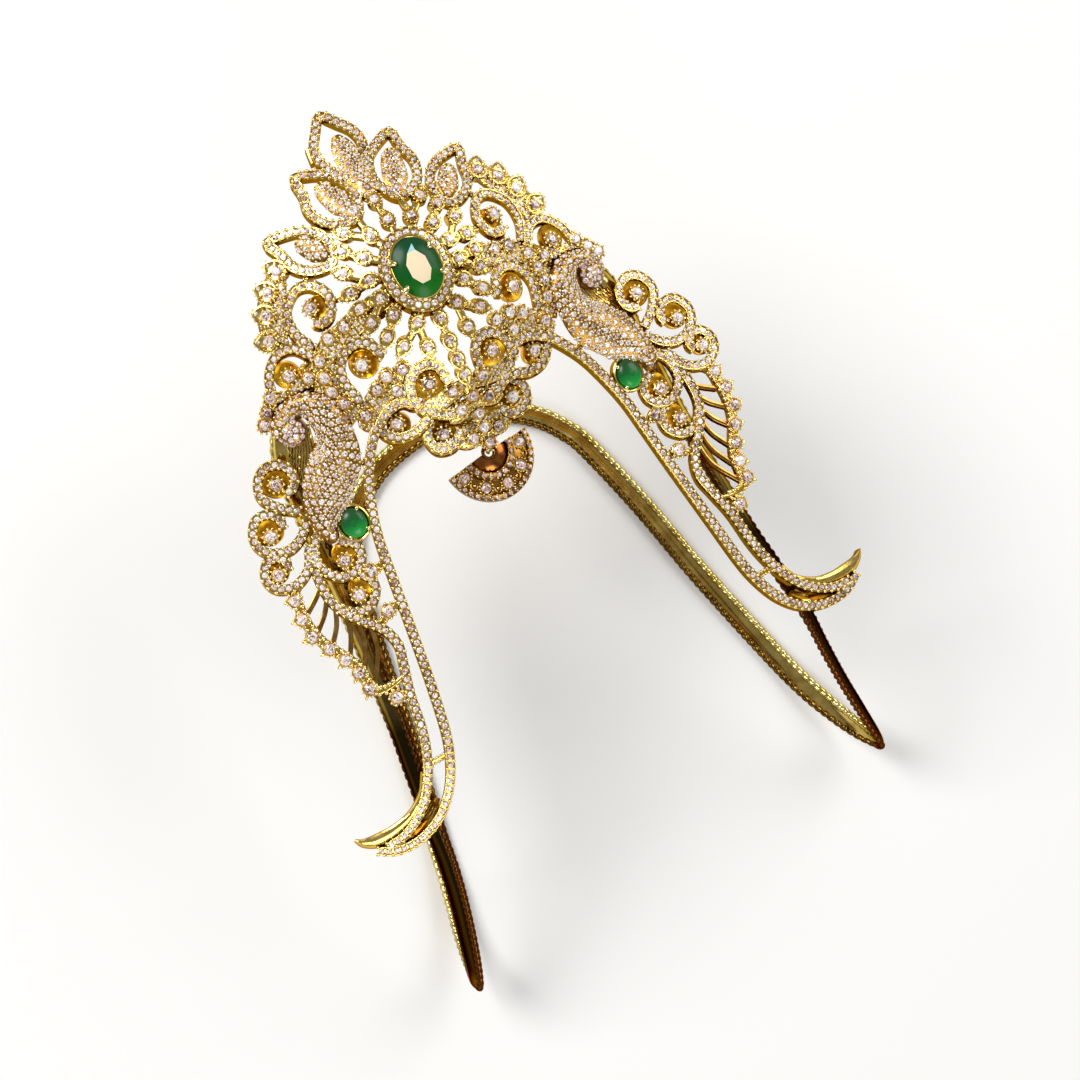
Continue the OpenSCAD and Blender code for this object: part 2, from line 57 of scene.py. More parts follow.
def unit(v):
    return v / np.maximum(np.linalg.norm(v, axis=-1, keepdims=True), 1e-9)


def facePlaces(xy, depth):
    # points of the face, first lowered by depth
    return np.column_stack([xy, faceHeight(xy[:, 0], xy[:, 1]) - depth])


def faceFrames(xy, direction):
    # three unit axes at each point: along a direction in the drawing, across it, and square to the face
    x, y, e = xy[:, 0], xy[:, 1], 0.05
    slopeX = (faceHeight(x + e, y) - faceHeight(x - e, y)) / (2 * e)
    slopeY = (faceHeight(x, y + e) - faceHeight(x, y - e)) / (2 * e)
    direction = np.broadcast_to(direction, xy.shape)
    up = unit(np.column_stack([-slopeX, -slopeY, np.ones(len(x))]))
    along = unit(np.column_stack([direction, direction[:, 0] * slopeX + direction[:, 1] * slopeY]))
    return np.stack([along, np.cross(up, along), up], axis=1)


def runAlong(path):
    # distance along a path from its first point to each of its points
    return np.concatenate([[0], np.cumsum(np.linalg.norm(np.diff(path, axis=0), axis=1))])


def spotsAt(s, run, rows):
    # the first two columns of rows, read at distances s
    return np.column_stack([np.interp(s, run, rows[:, k]) for k in (0, 1)])


def smoothCurve(points, step, closed=False, space=2):
    # cubic through all points (each span from its two ends and their neighbours), then equal steps along it
    p = np.asarray(points, float)
    q = np.vstack([p[-1:], p, p[:2]]) if closed else np.vstack([2 * p[0] - p[1], p, 2 * p[-1] - p[-2]])
    a, b, c, d = (q[k:len(q) - 3 + k, None] for k in range(4))
    t = np.linspace(0, 1, 12, endpoint=False)[None, :, None]
    curve = 0.5 * (2 * b + (c - a) * t + (2 * a - 5 * b + 4 * c - d) * t ** 2
                   + (3 * b - a - 3 * c + d) * t ** 3)
    curve = np.vstack([curve.reshape(-1, p.shape[1]), p[:1] if closed else p[-1:]])
    run = runAlong(curve[:, :space])
    even = np.linspace(0, run[-1], max(int(round(run[-1] / step)), 2) + 1)
    even = even[:-1] if closed else even
    return np.column_stack([np.interp(even, run, curve[:, k]) for k in range(p.shape[1])])


def headings(path, closed=False):
    ahead = np.roll(path, -1, 0) - np.roll(path, 1, 0) if closed else np.gradient(path, axis=0)
    return unit(ahead)


def turned(v):
    return np.column_stack([-v[:, 1], v[:, 0]])


def around(a):
    return np.column_stack([np.cos(a), np.sin(a)])


def ringOf(a, r, z):
    # points at the angles a, radius r and height z
    return np.column_stack([r * np.cos(a), r * np.sin(a), np.full(len(a), z)])


def coneFrames(a, slope):
    # directions at the angles a round z, and frames that stand there on a cone of the given slope
    away = ringOf(a, 1, 0)
    along = np.column_stack([-np.sin(a), np.cos(a), 0 * a])
    up = unit(away * slope + [0, 0, 1])
    return away, np.stack([along, np.cross(up, along), up], 1)


# meshes as arrays: (points, list of face arrays)
def skinOver(grid, closed=False):
    # grid of points (station, place round the section, 3): quads between neighbours, flat ends where open
    n, m = grid.shape[:2]
    i = np.arange(n if closed else n - 1)[:, None]
    j = np.arange(m)[None, :]
    a, b = i * m + j, i * m + (j + 1) % m
    c, d = ((i + 1) % n) * m + (j + 1) % m, ((i + 1) % n) * m + j
    faces = [np.stack([a, b, c, d], -1).reshape(-1, 4)]
    if not closed:
        faces += [np.arange(m)[::-1][None], (np.arange(m) + (n - 1) * m)[None]]
    return grid.reshape(-1, 3), faces


def sweepOnFace(path, profile, closed=False, width=None):
    # profile (across, height) carried along a path of the drawing, each point lifted on the face
    path = path[:, :2]
    side = turned(headings(path, closed))
    scale = np.ones(len(path)) if width is None else width
    profile = np.asarray(profile)
    xy = path[:, None] + side[:, None] * (profile[None, :, :1] * scale[:, None, None])
    z = faceHeight(xy[..., 0], xy[..., 1]) + profile[None, :, 1]
    return skinOver(np.concatenate([xy, z[..., None]], -1), closed)


def tube(places, radius, sides, closed=False):
    # circle carried along a path in space, standing square to it
    ahead = headings(places, closed)
    side = unit(np.cross(ahead, [0.02, 0.03, 1.0]))
    rise = np.cross(side, ahead)
    a = np.linspace(0, 2 * np.pi, sides, endpoint=False)[None, :, None]
    r = np.broadcast_to(np.asarray(radius, float), len(places))[:, None, None]
    return skinOver(places[:, None] + r * (np.cos(a) * side[:, None] - np.sin(a) * rise[:, None]), closed)


def joined(meshes):
    points, faces, start = [], [], 0
    for p, f in meshes:
        points.append(p)
        faces += [k + start for k in f]
        start += len(p)
    return np.vstack(points), faces


def mirrored(mesh):
    return mesh[0] * [-1, 1, 1], [f[:, ::-1] for f in mesh[1]]


def onBothSides(meshes):
    return meshes + [mirrored(m) for m in meshes]


def stamped(shape, places, frames, sizes):
    # one small shape repeated: its points times a size, turned by a frame and moved to a place
    points, faces = shape
    sizes = np.asarray(sizes, float).reshape(len(places), 1, -1)
    every = places[:, None] + np.einsum("nkc,ncd->nkd", points[None] * sizes, frames)
    step = (np.arange(len(places)) * len(points))[:, None, None]
    return every.reshape(-1, 3), [(f[None] + step).reshape(-1, f.shape[1]) for f in faces]


def stampedOnFace(shape, spots, direction, depth, size, lift=0):
    # a small shape at spots of the drawing: lowered by depth, then lifted along the face's own normal
    frames = faceFrames(spots, direction)
    places = facePlaces(spots, depth) + frames[:, 2] * lift
    return stamped(shape, places, frames, np.broadcast_to(size, (len(spots), 3)))


def addObject(name, data):
    thing = bpy.data.objects.new(name, data)
    bpy.context.scene.collection.objects.link(thing)
    return thing


def setFaceValues(data, name, values):
    data.attributes.new(name, "FLOAT", "FACE").data.foreach_set("value", values.astype(np.float32))


def makePiece(name, mesh, material, nodes=("goldwork",), smooth=True, tone=None, sharp=38):
    points, faces = mesh
    data = bpy.data.meshes.new(name)
    data.vertices.add(len(points))
    data.vertices.foreach_set("co", ((points + [0, midY, 0]) * mm).ravel())
    loops = np.concatenate([f.ravel() for f in faces])
    sizes = np.concatenate([np.full(len(f), f.shape[1]) for f in faces])
    data.loops.add(len(loops))
    data.loops.foreach_set("vertex_index", loops.astype(np.int32))
    data.polygons.add(len(sizes))
    data.polygons.foreach_set("loop_start", np.concatenate([[0], np.cumsum(sizes)[:-1]]).astype(np.int32))
    data.update(calc_edges=True)
    data.polygons.foreach_set("use_smooth", np.full(len(sizes), smooth))
    facing = np.zeros(3 * len(sizes))
    data.polygons.foreach_get("normal", facing)
    # how far a face turns away from the front: 0 on tops, 1 on walls and undersides
    setFaceValues(data, "wall", np.clip(1.1 - 1.4 * facing[2::3], 0, 1))
    if tone is not None:
        setFaceValues(data, "tone", tone)
    data.materials.append(material)
    piece = addObject(name, data)
    if smooth:
        data.set_sharp_from_angle(angle=np.radians(sharp))
    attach(piece, "root")
    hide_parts(*nodes)
    print(name, "faces", len(sizes))


# materials
def srgb(code):
    c = np.array([int(code[k:k + 2], 16) for k in (1, 3, 5)]) / 255
    return (*np.where(c <= 0.04045, c / 12.92, ((c + 0.055) / 1.055) ** 2.4), 1.0)


def addNode(tree, kind, settings=None, links=None):
    # one node: settings are its own values or its sockets', links are socket name -> another node's output
    node = tree.nodes.new(kind)
    for key, value in (settings or {}).items():
        if hasattr(node, key):
            setattr(node, key, value)
        else:
            node.inputs[key].default_value = value
    for key, output in (links or {}).items():
        tree.links.new(output, node.inputs[key])
    return node


def newMaterial(name):
    material = bpy.data.materials.new(name)
    material.use_nodes = True
    material.node_tree.nodes.clear()
    return material, material.node_tree


def finished(material, tree, settings, links=None):
    # the principled shader of a material, joined to its output
    shader = addNode(tree, "ShaderNodeBsdfPrincipled", settings, links)
    addNode(tree, "ShaderNodeOutputMaterial", {}, {"Surface": shader.outputs["BSDF"]})
    return material


def rampOf(tree, factor, stops):
    ramp = addNode(tree, "ShaderNodeValToRGB", {}, {"Fac": factor})
    line = ramp.color_ramp
    for place, code in stops[1:-1]:
        line.elements.new(place)
    for k, (place, code) in enumerate(stops):
        line.elements[k].position = place
        line.elements[k].color = srgb(code)
    return ramp.outputs["Color"]


def mixed(tree, share, colour, other):
    # colour blended toward another by a share
    blend = addNode(tree, "ShaderNodeMix", {"data_type": "RGBA"})
    tree.links.new(share, blend.inputs[0])
    tree.links.new(colour, blend.inputs[6])
    blend.inputs[7].default_value = srgb(other)
    return blend.outputs[2]


def mapped(tree, value, span, to=(0, 1)):
    # a value brought from one span to another and held inside it
    settings = {"From Min": span[0], "From Max": span[1], "To Min": to[0], "To Max": to[1]}
    return addNode(tree, "ShaderNodeMapRange", settings, {"Value": value}).outputs["Result"]


rippleSpan = (0.3, 0.7)  # nearly all values of the noise lie between these


def metalMaterial(name, colours, rough, rippleMm, bumpMm, walls=None, edge="#FFFFFF", shadeZone=None):
    # metal with a faint ripple: its colour wanders between two, and its roughness with it
    material, tree = newMaterial(name)
    place = addNode(tree, "ShaderNodeTexCoord").outputs["Object"]
    ripple = addNode(tree, "ShaderNodeTexNoise", {"Scale": 1 / (rippleMm * mm), "Detail": 2.0},
                     {"Vector": place}).outputs["Fac"]
    colour = rampOf(tree, ripple, list(zip(rippleSpan, colours)))
    bump = addNode(tree, "ShaderNodeBump", {"Strength": 0.5, "Distance": bumpMm * mm}, {"Height": ripple})
    if walls:
        # painted shade: walls and hollows are turned toward a brown by the face attribute wall
        wall = addNode(tree, "ShaderNodeAttribute", {"attribute_name": "wall"})
        colour = mixed(tree, mapped(tree, wall.outputs["Fac"], (0, 1), (0, 0.85)), colour, walls)
    if shadeZone:
        # painted shade: the colour turns brown between two heights and ends between two places along Y
        axes = addNode(tree, "ShaderNodeSeparateXYZ", {}, {"Vector": place})
        both = addNode(tree, "ShaderNodeMath", {"operation": "MULTIPLY"})
        tree.links.new(mapped(tree, axes.outputs["Z"], [z * mm for z in shadeZone["z"]]), both.inputs[0])
        tree.links.new(mapped(tree, axes.outputs["Y"], [(y + midY) * mm for y in shadeZone["y"]]), both.inputs[1])
        colour = mixed(tree, both.outputs["Value"], colour, shadeZone["colour"])
    # the edge colour is what a metal gives back at a grazing look
    return finished(material, tree, {"Metallic": 1.0, "Specular Tint": srgb(edge)},
                    {"Base Color": colour, "Roughness": mapped(tree, ripple, rippleSpan, rough),
                     "Normal": bump.outputs["Normal"]})


def stoneMaterial(name, stops, rough, ior, gloss=0.5):
    # each facet has its own share of light and dark, kept on the mesh
    material, tree = newMaterial(name)
    tone = addNode(tree, "ShaderNodeAttribute", {"attribute_name": "tone"})
    return finished(material, tree, {"Roughness": rough, "IOR": ior, "Specular IOR Level": gloss},
                    {"Base Color": rampOf(tree, tone.outputs["Fac"], stops)})


# bright yellow rims, with painted shade in brown on walls and hollows
yellowGold = metalMaterial("gilt brass, cast and polished", ("#F0C454", "#FBE08C"), (0.12, 0.24), 0.9, 0.03,
                           "#6A4A1C", "#E0B468")
# painted highlight: a paler gold for the sparkle of points between the stones
paleGold = metalMaterial("gilt brass, grains with painted highlight", ("#F7D778", "#FFF0B8"), (0.12, 0.26), 0.9, 0.01)
# soft amber floors with no sharp reflection
amberGold = metalMaterial("gilt brass, dished and left matt", ("#DFA01E", "#F6C43A"), (0.34, 0.46), 0.7, 0.03)
# a darker ground that parts one small stone from the next: painted shade in the gaps
bedGold = metalMaterial("gilt brass, beds between small stones", ("#966A28", "#C4964A"), (0.3, 0.42), 0.7,
                        0.02)
# darker brown metal under the drop's stones, with painted shade nearly black in its hollows
fanGold = metalMaterial("gilt brass, darker brown, painted shade in hollows", ("#8A5E22", "#C8923E"), (0.2, 0.32), 0.8, 0.03,
                        "#4A3214")
# long highlights on ribs that are darker than the work round them: painted shade, browner still on their
# walls
ribGold = metalMaterial("gilt brass, polished, in painted shade", ("#A87832", "#DCAE5C"), (0.1, 0.18), 1.4, 0.02,
                        "#5A3C18", "#A07840")
# copper inside the drop, darkened as painted shade in the hollow cone
copperConeShade = metalMaterial("gilt brass, hollow and burnished, in painted shade", ("#8C4E20", "#C07A3C"), (0.16, 0.24), 0.8,
                           0.03)
# painted shade on the front strands: brown rising from 3 to 13 mm up and from y -12 to -32
frontShadeZone = {"colour": "#603A1A", "z": (3, 13), "y": (-12, -32)}
frontEdge = "#94703E"
# light wire, golden along the back, with painted shade copper brown in front
ropeGold = metalMaterial("gilt brass, drawn wire", ("#D8BC58", "#F8E69A"), (0.2, 0.3), 2.2, 0.008,
                         edge=frontEdge, shadeZone=frontShadeZone)
# painted shade: the inner wire is brown all round, so the band looks deep
ropeShade = metalMaterial("gilt brass, drawn wire in painted shade", ("#5E4418", "#866428"), (0.2, 0.3), 2.2, 0.008,
                          edge=frontEdge, shadeZone=frontShadeZone)
# a smooth strip with mirror streaks, with painted shade dark olive in front
stripGold = metalMaterial("gilt brass, rolled, painted shade in front", ("#C4A04C", "#F2D478"), (0.12, 0.18), 2.2, 0.008,
                          edge=frontEdge, shadeZone={**frontShadeZone, "colour": "#3A2C14"})
# white, rose and brown facets side by side, as cut stones show over bright metal: painted glints and
# reflections, changing at random from facet to facet
brilliant = stoneMaterial("cubic zirconia, brilliant cut", [
    (0.0, "#4A2E24"), (0.2, "#8E6656"), (0.42, "#CDA592"), (0.68, "#F2D9CB"), (1.0, "#FFFFFF")], 0.06, 2.17)
# deep green with painted light and shade from dark to bright, and painted reflections: one pale blue facet
# and a cream table
deepGreen = stoneMaterial("green agate, faceted and polished", [
    (0.0, "#0E3A24"), (0.2, "#10482A"), (0.45, "#0A5416"), (0.7, "#1A7A12"), (0.8, "#A9D8DA"),
    (1.0, "#F8E4BE")], 0.3, 1.54, 0.22)
# even green with painted light: it brightens toward one side
brightGreen = stoneMaterial("green glass, cut smooth and polished", [
    (0.0, "#24401F"), (0.45, "#12602A"), (0.75, "#16963A"), (1.0, "#2CC24C")], 0.24, 1.5, 0.4)
print("materials ready")


# small shapes that are repeated, each about 1 across its radius
def facetRings(rings, peak=None, n=8):
    # rings of equal count (radius, height, turn in half steps) with faces between them; a peak adds a star
    k = np.arange(n)
    points = np.vstack([ringOf(2 * np.pi * (k + half / 2) / n, r, z) for r, z, half in rings])
    tris, quads = [], []
    for lower, (one, two) in enumerate(zip(rings[:-1], rings[1:])):
        a, b = lower * n + k, lower * n + (k + 1) % n
        c, d = (lower + 1) * n + k, (lower + 1) * n + (k + 1) % n
        if one[2] == two[2]:
            quads.append(np.column_stack([a, b, d, c]))
        elif two[2] > one[2]:
            tris += [np.column_stack([a, b, c]), np.column_stack([b, d, c])]
        else:
            tris += [np.column_stack([a, b, d]), np.column_stack([a, d, c])]
    caps = [k[::-1][None]]
    last = k + (len(rings) - 1) * n
    if peak is None:
        caps.append(last[None])
    else:
        points = np.vstack([points, [[0, 0, peak]]])
        tris.append(np.column_stack([last, np.roll(last, -1), np.full(n, len(points) - 1)]))
    return points, ([np.vstack(quads)] if quads else []) + ([np.vstack(tris)] if tris else []) + caps


tinyStone = facetRings([(1, -0.3, 0), (1, 0, 0), (0.62, 0.32, 1)], 0.36)
roundStone = facetRings([(1, -0.25, 0), (1, 0, 0), (0.8, 0.22, 1), (0.56, 0.36, 0), (0.3, 0.385, 1)], 0.4)
grain = facetRings([(1, -0.4, 0), (0.98, 0.2, 0), (0.6, 0.78, 0)], n=7)
stoneLight = {"mean": 0.58, "perStone": 0.14, "perFacet": 0.34}


def stoneTones(mesh, count):
    # a light share for each facet: one value per stone, moved by a random step per facet
    sizes = [len(f) for f in mesh[1]]
    whole = seeded.normal(stoneLight["mean"], stoneLight["perStone"], count)
    parts = [np.repeat(whole, s // count) + seeded.normal(0, stoneLight["perFacet"], s) for s in sizes]
    return np.clip(np.concatenate(parts), 0, 1)


def makeStones(name, mesh, count, node, dim=1):
    # clear stones with flat facets
    tone = dim * stoneTones(mesh, count)
    makePiece(name, mesh, brilliant, [node], smooth=False, tone=tone)


def pearRadius(a, reach, spread, back=0.0):
    # 1 + reach * exp(-(angle / spread)^1.1), so round with a point along x, and a smaller one behind
    away = np.abs(np.angle(np.exp(1j * a)))
    return 1 + reach * np.exp(-(away / spread) ** 1.1) + back * np.exp(-((np.pi - away) / spread) ** 1.1)


def collarShape(reach, sides, profile, spread=0.7, back=0.0):
    # profile (share of the pear's radius, height) carried round
    a = 2 * np.pi * np.arange(sides) / sides
    r = pearRadius(a, reach, spread, back)
    return skinOver(np.stack([ringOf(a, k * r, h) for k, h in profile]))


def surfaceSpots(surface, s, v):
    # points of a parametric surface with the frames that stand on it: along s, across, and its own normal
    e = 0.05
    ds = surface(s + e, v) - surface(s - e, v)
    dv = surface(s, v + e) - surface(s, v - e)
    up = unit(np.cross(ds, dv))
    up = up * np.sign(up[:, 2:])
    along = unit(ds)
    return surface(s, v), np.stack([along, np.cross(up, along), up], axis=1)


# what the metal carries: lists of (places, frames, sizes, repeated on the other side), filled with the metal
pave, grains, claws = [], [], []


def addRow(rows, places, frames, size, paired=False):
    rows.append((places, frames, np.broadcast_to(size, (len(places), 3)), paired))


def addOnFace(rows, spots, direction, depth, size, paired=False):
    addRow(rows, facePlaces(spots, depth), faceFrames(spots, direction), size, paired)


def setInRow(path, depth, radius, width, paired):
    # a stone between every two marks of a path, and a grain on each side of every mark
    path = path[:, :2]
    addOnFace(pave, (path[1:] + path[:-1]) / 2, unit(path[1:] - path[:-1]), depth, radius, paired)
    side = turned(headings(path))
    for k in (-1, 1):
        spots = path + side * k * (width / 2 - ribbon["grainIn"])
        addOnFace(grains, spots, side, depth - 0.03, ribbon["grain"], paired)


def setInHex(surface, length, halfWidth, look, paired):
    # stones in rows along a strip, every second step shifted by half a pitch, with grains in the gaps;
    # a row at the share u stands 1.25 u - 0.25 u^3 of the half width off the middle
    pitch, margin = look["pitch"], look["margin"]

    def spotsOf(s, u, keep):
        return surfaceSpots(surface, s[keep], (halfWidth(s) * (1.25 * u - 0.25 * u ** 3))[keep])

    steps = np.arange(0.5 * pitch, length - 0.3 * pitch, pitch * 0.87)
    s, j = np.meshgrid(steps, np.arange(-12, 13), indexing="ij")
    u = (j + 0.5 * (np.arange(len(steps))[:, None] % 2)) * pitch / (1.15 * halfWidth(s))
    addRow(pave, *spotsOf(s, u, np.abs(u) < 1 - margin / halfWidth(s)), look["stone"], paired)
    for ahead, aside in ((0.29, 0.5), (0.58, 0)):
        s2 = s + ahead * pitch
        u2 = u + aside * pitch / (1.15 * halfWidth(s2))
        places, frames = spotsOf(s2, u2, (np.abs(u2) < 1 - 0.5 * margin / halfWidth(s2)) & (s2 < length))
        addRow(grains, places + frames[:, 2] * 0.03, frames, look["grain"], paired)


clawLook = {"turn": 0.785, "lift": 0.22, "size": 0.24, "wide": 0.8, "tall": 1.5}


def setWithClaws(rows, radius, size=clawLook["size"]):
    # four claws round a stone: rows of x, y, depth and the direction that the corners are turned from
    for k in range(4):
        out = around(clawLook["turn"] + 2 * np.pi * k / 4 + rows[:, 3])
        sizes = (size, size * clawLook["wide"], size * clawLook["tall"])
        addOnFace(claws, rows[:, :2] + radius * out, out, rows[:, 2] - clawLook["lift"], sizes)


# ribbons: walls of cast metal with a channel of small stones between two rims
ribbon = {"width": 1.35, "depth": 1.8, "rim": 0.2, "floor": 0.2, "pitch": 1.1, "stone": 0.46, "step": 0.4,
          "grain": 0.27, "grainIn": 0.16, "proud": 0.05, "taperFrom": 0.62, "taper": 0.6}


def channelProfile(width, low, top):
    # closed section: wall, rounded rim, sunk floor, rounded rim, wall
    h, r, f = width / 2, ribbon["rim"], ribbon["floor"]
    return np.array([(h, -low), (h, top - 0.1), (h - 0.07, top), (h - r, top - 0.02), (h - r - 0.05, top - f),
                     (-h + r + 0.05, top - f), (-h + r, top - 0.02), (-h + 0.07, top), (-h, top - 0.1),
                     (-h, -low)])


def plainProfile(width, low, top):
    # closed section with a rounded back
    h = width / 2
    return np.array([(h, -low), (h, top - 0.22), (h * 0.86, top - 0.07), (h * 0.5, top), (-h * 0.5, top),
                     (-h * 0.86, top - 0.07), (-h, top - 0.22), (-h, -low)])


def fromEnds(count, step):
    # distance to the nearer end of a path
    return np.minimum(np.arange(count), np.arange(count)[::-1]) * step


def stoneRibbon(points, depth, closed=False, low=ribbon["depth"], width=ribbon["width"], paired=True):
    path = smoothCurve(points, ribbon["step"], closed)
    marks = smoothCurve(points, ribbon["pitch"], closed)
    marks = np.vstack([marks, marks[:1]]) if closed else marks
    setInRow(marks, depth, ribbon["stone"], width, paired)
    tapered = ribbon["taperFrom"] + ribbon["taper"] * fromEnds(len(path), ribbon["step"])
    profile = channelProfile(width, low + depth, ribbon["proud"] - depth)
    return sweepOnFace(path, profile, closed, None if closed else np.clip(tapered, 0, 1))


def plainStrip(rows, top, low, width=1.0, step=0.5):
    # strip of changing width through rows of x, y, width
    rows = np.asarray(rows, float)
    rows = rows if rows.shape[1] > 2 else np.column_stack([rows, np.full(len(rows), width)])
    path = smoothCurve(rows, step)
    return sweepOnFace(path, plainProfile(1, low, -top), width=np.maximum(path[:, 2], 0.25))


scrollRows = [  # depth below the face, points x, y
    (0, [(16.4, 18.2), (17.6, 21.2), (17.2, 24.2), (15, 26), (12.9, 25.4), (11.6, 23), (12.2, 20.8),
         (13.6, 20.2), (14.9, 20.9)]),
    (0.1, [(16.9, 17.4), (18.6, 19.8), (21, 20.3), (23.2, 18.5), (24.1, 15.9)]),
    (0, [(9, 12.4), (10, 14.8), (12, 15.7), (14, 14.8), (14.9, 12.5), (14.1, 9)]),
    (0, [(2.5, 5.4), (3, 8), (5, 8.9), (7, 8), (7.7, 6.2), (7.5, 4.7)]),
    (0.7, [(6.7, 3), (9.2, 2.4), (11.8, 2.9), (13.5, 4.9)]),
    (0.1, [(7.6, 4.9), (9.2, 6.4), (11.6, 6.3), (13.7, 5.2)]),
    (2.4, [(3.2, 0.2), (4.8, -1.3), (7, -0.9), (7.8, 0.8), (7.3, 2.2), (5.9, 3.1)]),
    (1.1, [(7.5, 4.9), (6.2, 3.6), (4.5, 2.5), (2.4, 1.7)]),
    (0, [(28, 1), (30.5, 2.9), (31.9, 5.2), (31.2, 7.4), (29.3, 8.4), (27.2, 7.5), (26.6, 5.7), (27.3, 4.3),
         (28.7, 3.9)]),
    (0.1, [(28, -0.6), (29.8, -2.2), (32.2, -2.8), (34.7, -1.7), (35.6, 0.6), (34.3, 2.8), (32.3, 2.9),
           (31.1, 1.6), (31.2, 0.2)]),
    (0, [(29.3, -3.6), (30.9, -6.3), (33.6, -7.5), (36, -6.6), (36.7, -4.6), (35.6, -2.9), (34, -2.8),
         (33.1, -3.9), (33.3, -5.1)]),
    (0, [(27.2, -2.4), (29, -4.6), (29.2, -7.4), (27.3, -9.6), (25, -9.7), (23.5, -8.2), (23.7, -6.2),
         (25.5, -5.2)]),
    (0.1, [(29.2, -4.6), (30.3, -8), (30.2, -11.9), (28.4, -14.4), (26, -15), (24.1, -13.4), (24, -11.5),
           (25.1, -10.4)])]
innerLine = [(13.6, 5.6), (15.7, 3.3), (17.6, 0.5), (19.2, -3.4), (20.3, -7.2), (21, -11.5), (22.1, -19),
             (23.6, -28.5), (25, -35.6), (26.7, -40), (28.8, -43.1), (31.6, -45.4), (35.2, -46.6),
             (38.6, -46.4), (41.2, -45)]
outerLine = [(29.9, -13.2), (28, -15.9), (25.8, -18.5), (25, -21.4), (25.7, -24.3), (26.8, -28.2),
             (27.7, -33.4), (29, -37.3), (31, -40.8), (33.6, -43.4), (36.8, -45), (39.6, -45.2)]
petalTop = [(0, 32), (1.2, 34.2), (2.5, 37.6), (3.25, 40.4), (2.9, 42.6), (1.6, 44.5), (0, 45.6)]
petalSide = [(3.4, 29.8), (2, 31.9), (1.6, 34.2), (2.5, 36.9), (4.2, 38.6), (7.2, 39.3), (7.6, 37.2),
             (8.1, 34.9), (7.7, 32.8), (6.4, 30.9)]
petalLow = [(9.2, 26.2), (8.1, 28.2), (8.5, 30.6), (10.1, 32.5), (12.3, 33.5), (14.5, 33.4), (14.2, 31.4),
            (13.6, 28.9), (11.8, 26.9)]

work = [stoneRibbon(points, depth) for depth, points in scrollRows]
work += [stoneRibbon(innerLine, 0, low=2.2), stoneRibbon(outerLine, 0, low=2.2)]


# the grains of a petal's tip: how far back from the point, how far aside, size
petal = {"point": 1.15, "step": 0.3, "narrow": 0.35, "taper": 1.6, "stone": 0.4, "stoneBack": 0.95,
         "grains": ((0.2, 0, 0.34), (0.75, 0.42, 0.24), (0.75, -0.42, 0.24))}


def petalRibbon(points, tip, depth, paired=True):
    # outline of a petal: a ribbon that starts and ends at its sharp tip, narrowed over the last millimetre
    ring = np.array(points[tip + 1:] + points[:tip], float)
    outward = unit(np.array(points[tip]) - ring.mean(0))
    apex = np.array(points[tip]) + petal["point"] * outward
    row = np.vstack([apex, ring, apex])
    path = smoothCurve(row, petal["step"])
    setInRow(smoothCurve(row, ribbon["pitch"])[1:-1], depth, ribbon["stone"], ribbon["width"], paired)
    for back, aside, size in petal["grains"]:
        spot = (apex - back * outward + aside * np.array([-outward[1], outward[0]]))[None]
        addOnFace(grains, spot, spot + 1, depth - 0.05, size, paired)
    spot = (apex - petal["stoneBack"] * outward)[None]
    addOnFace(pave, spot, spot + 1, depth - 0.03, petal["stone"], paired)
    profile = channelProfile(ribbon["width"], ribbon["depth"] + depth, ribbon["proud"] - depth)
    tapered = petal["narrow"] + fromEnds(len(path), petal["step"]) / petal["taper"]
    return sweepOnFace(path, profile, width=np.clip(tapered, petal["narrow"], 1))


work += [petalRibbon(petalSide, 5, 0.1), petalRibbon(petalLow, 5, 0.05)]
middle = [petalRibbon(petalTop + [(-x, y) for x, y in petalTop[-2:0:-1]], 6, 0, paired=False)]
print("ribbons ready")

# halo round the centre stone
centreStone = {"length": 8.2, "width": 6.4, "y": 19.5, "lift": 0.9}
centrePlace = np.array([[0, centreStone["y"]]])
centreSize = (centreStone["width"] / 2, centreStone["length"] / 2, 1)
halo = {"outX": 0.95, "outY": 0.9, "low": 2.4, "width": 1.5}
turn = np.radians(22.5 * np.arange(16))
haloLine = np.column_stack([(centreSize[0] + halo["outX"]) * np.cos(turn),
                            centreStone["y"] + (centreSize[1] + halo["outY"]) * np.sin(turn)])
middle.append(stoneRibbon(haloLine, -centreStone["lift"], True, halo["low"], halo["width"], paired=False))
cup = collarShape(0, 32, [(0.9, -1.9), (1.06, -1.2), (1.09, -0.1), (1.06, 0.02), (1.0, -0.02), (0.7, -1.0)])
middle.append(stampedOnFace(cup, centrePlace, east, -centreStone["lift"], centreSize))

pearProfile = [(0.97, -1.3), (1.0, -0.1), (0.97, 0.05), (0.86, 0.07), (0.78, -0.05), (0.5, -0.1)]


def pearSettings(rows, look):
    # collars with beads on their rims and four claws: rows of x, y and the way the point looks
    at, ahead, half = rows[:, :2], rows[:, 2:], look["half"]
    point = look["reach"], look["spread"], look["back"]
    collar = collarShape(point[0], look["sides"], pearProfile, *point[1:])
    middle.append(stampedOnFace(collar, at, ahead, 0, (*half, 1)))
    for a in 2 * np.pi * (np.arange(look["beads"]) + 0.5) / look["beads"]:
        r = look["beadsAt"] * pearRadius(a, *point)
        spots = at + r * (half[0] * np.cos(a) * ahead + half[1] * np.sin(a) * turned(ahead))
        addOnFace(grains, spots, ahead, -0.02, look["bead"])
    heading = np.arctan2(rows[:, 3], rows[:, 2])
    setWithClaws(np.column_stack([at, 0 * heading, heading]), look["clawsAt"], look["claw"])


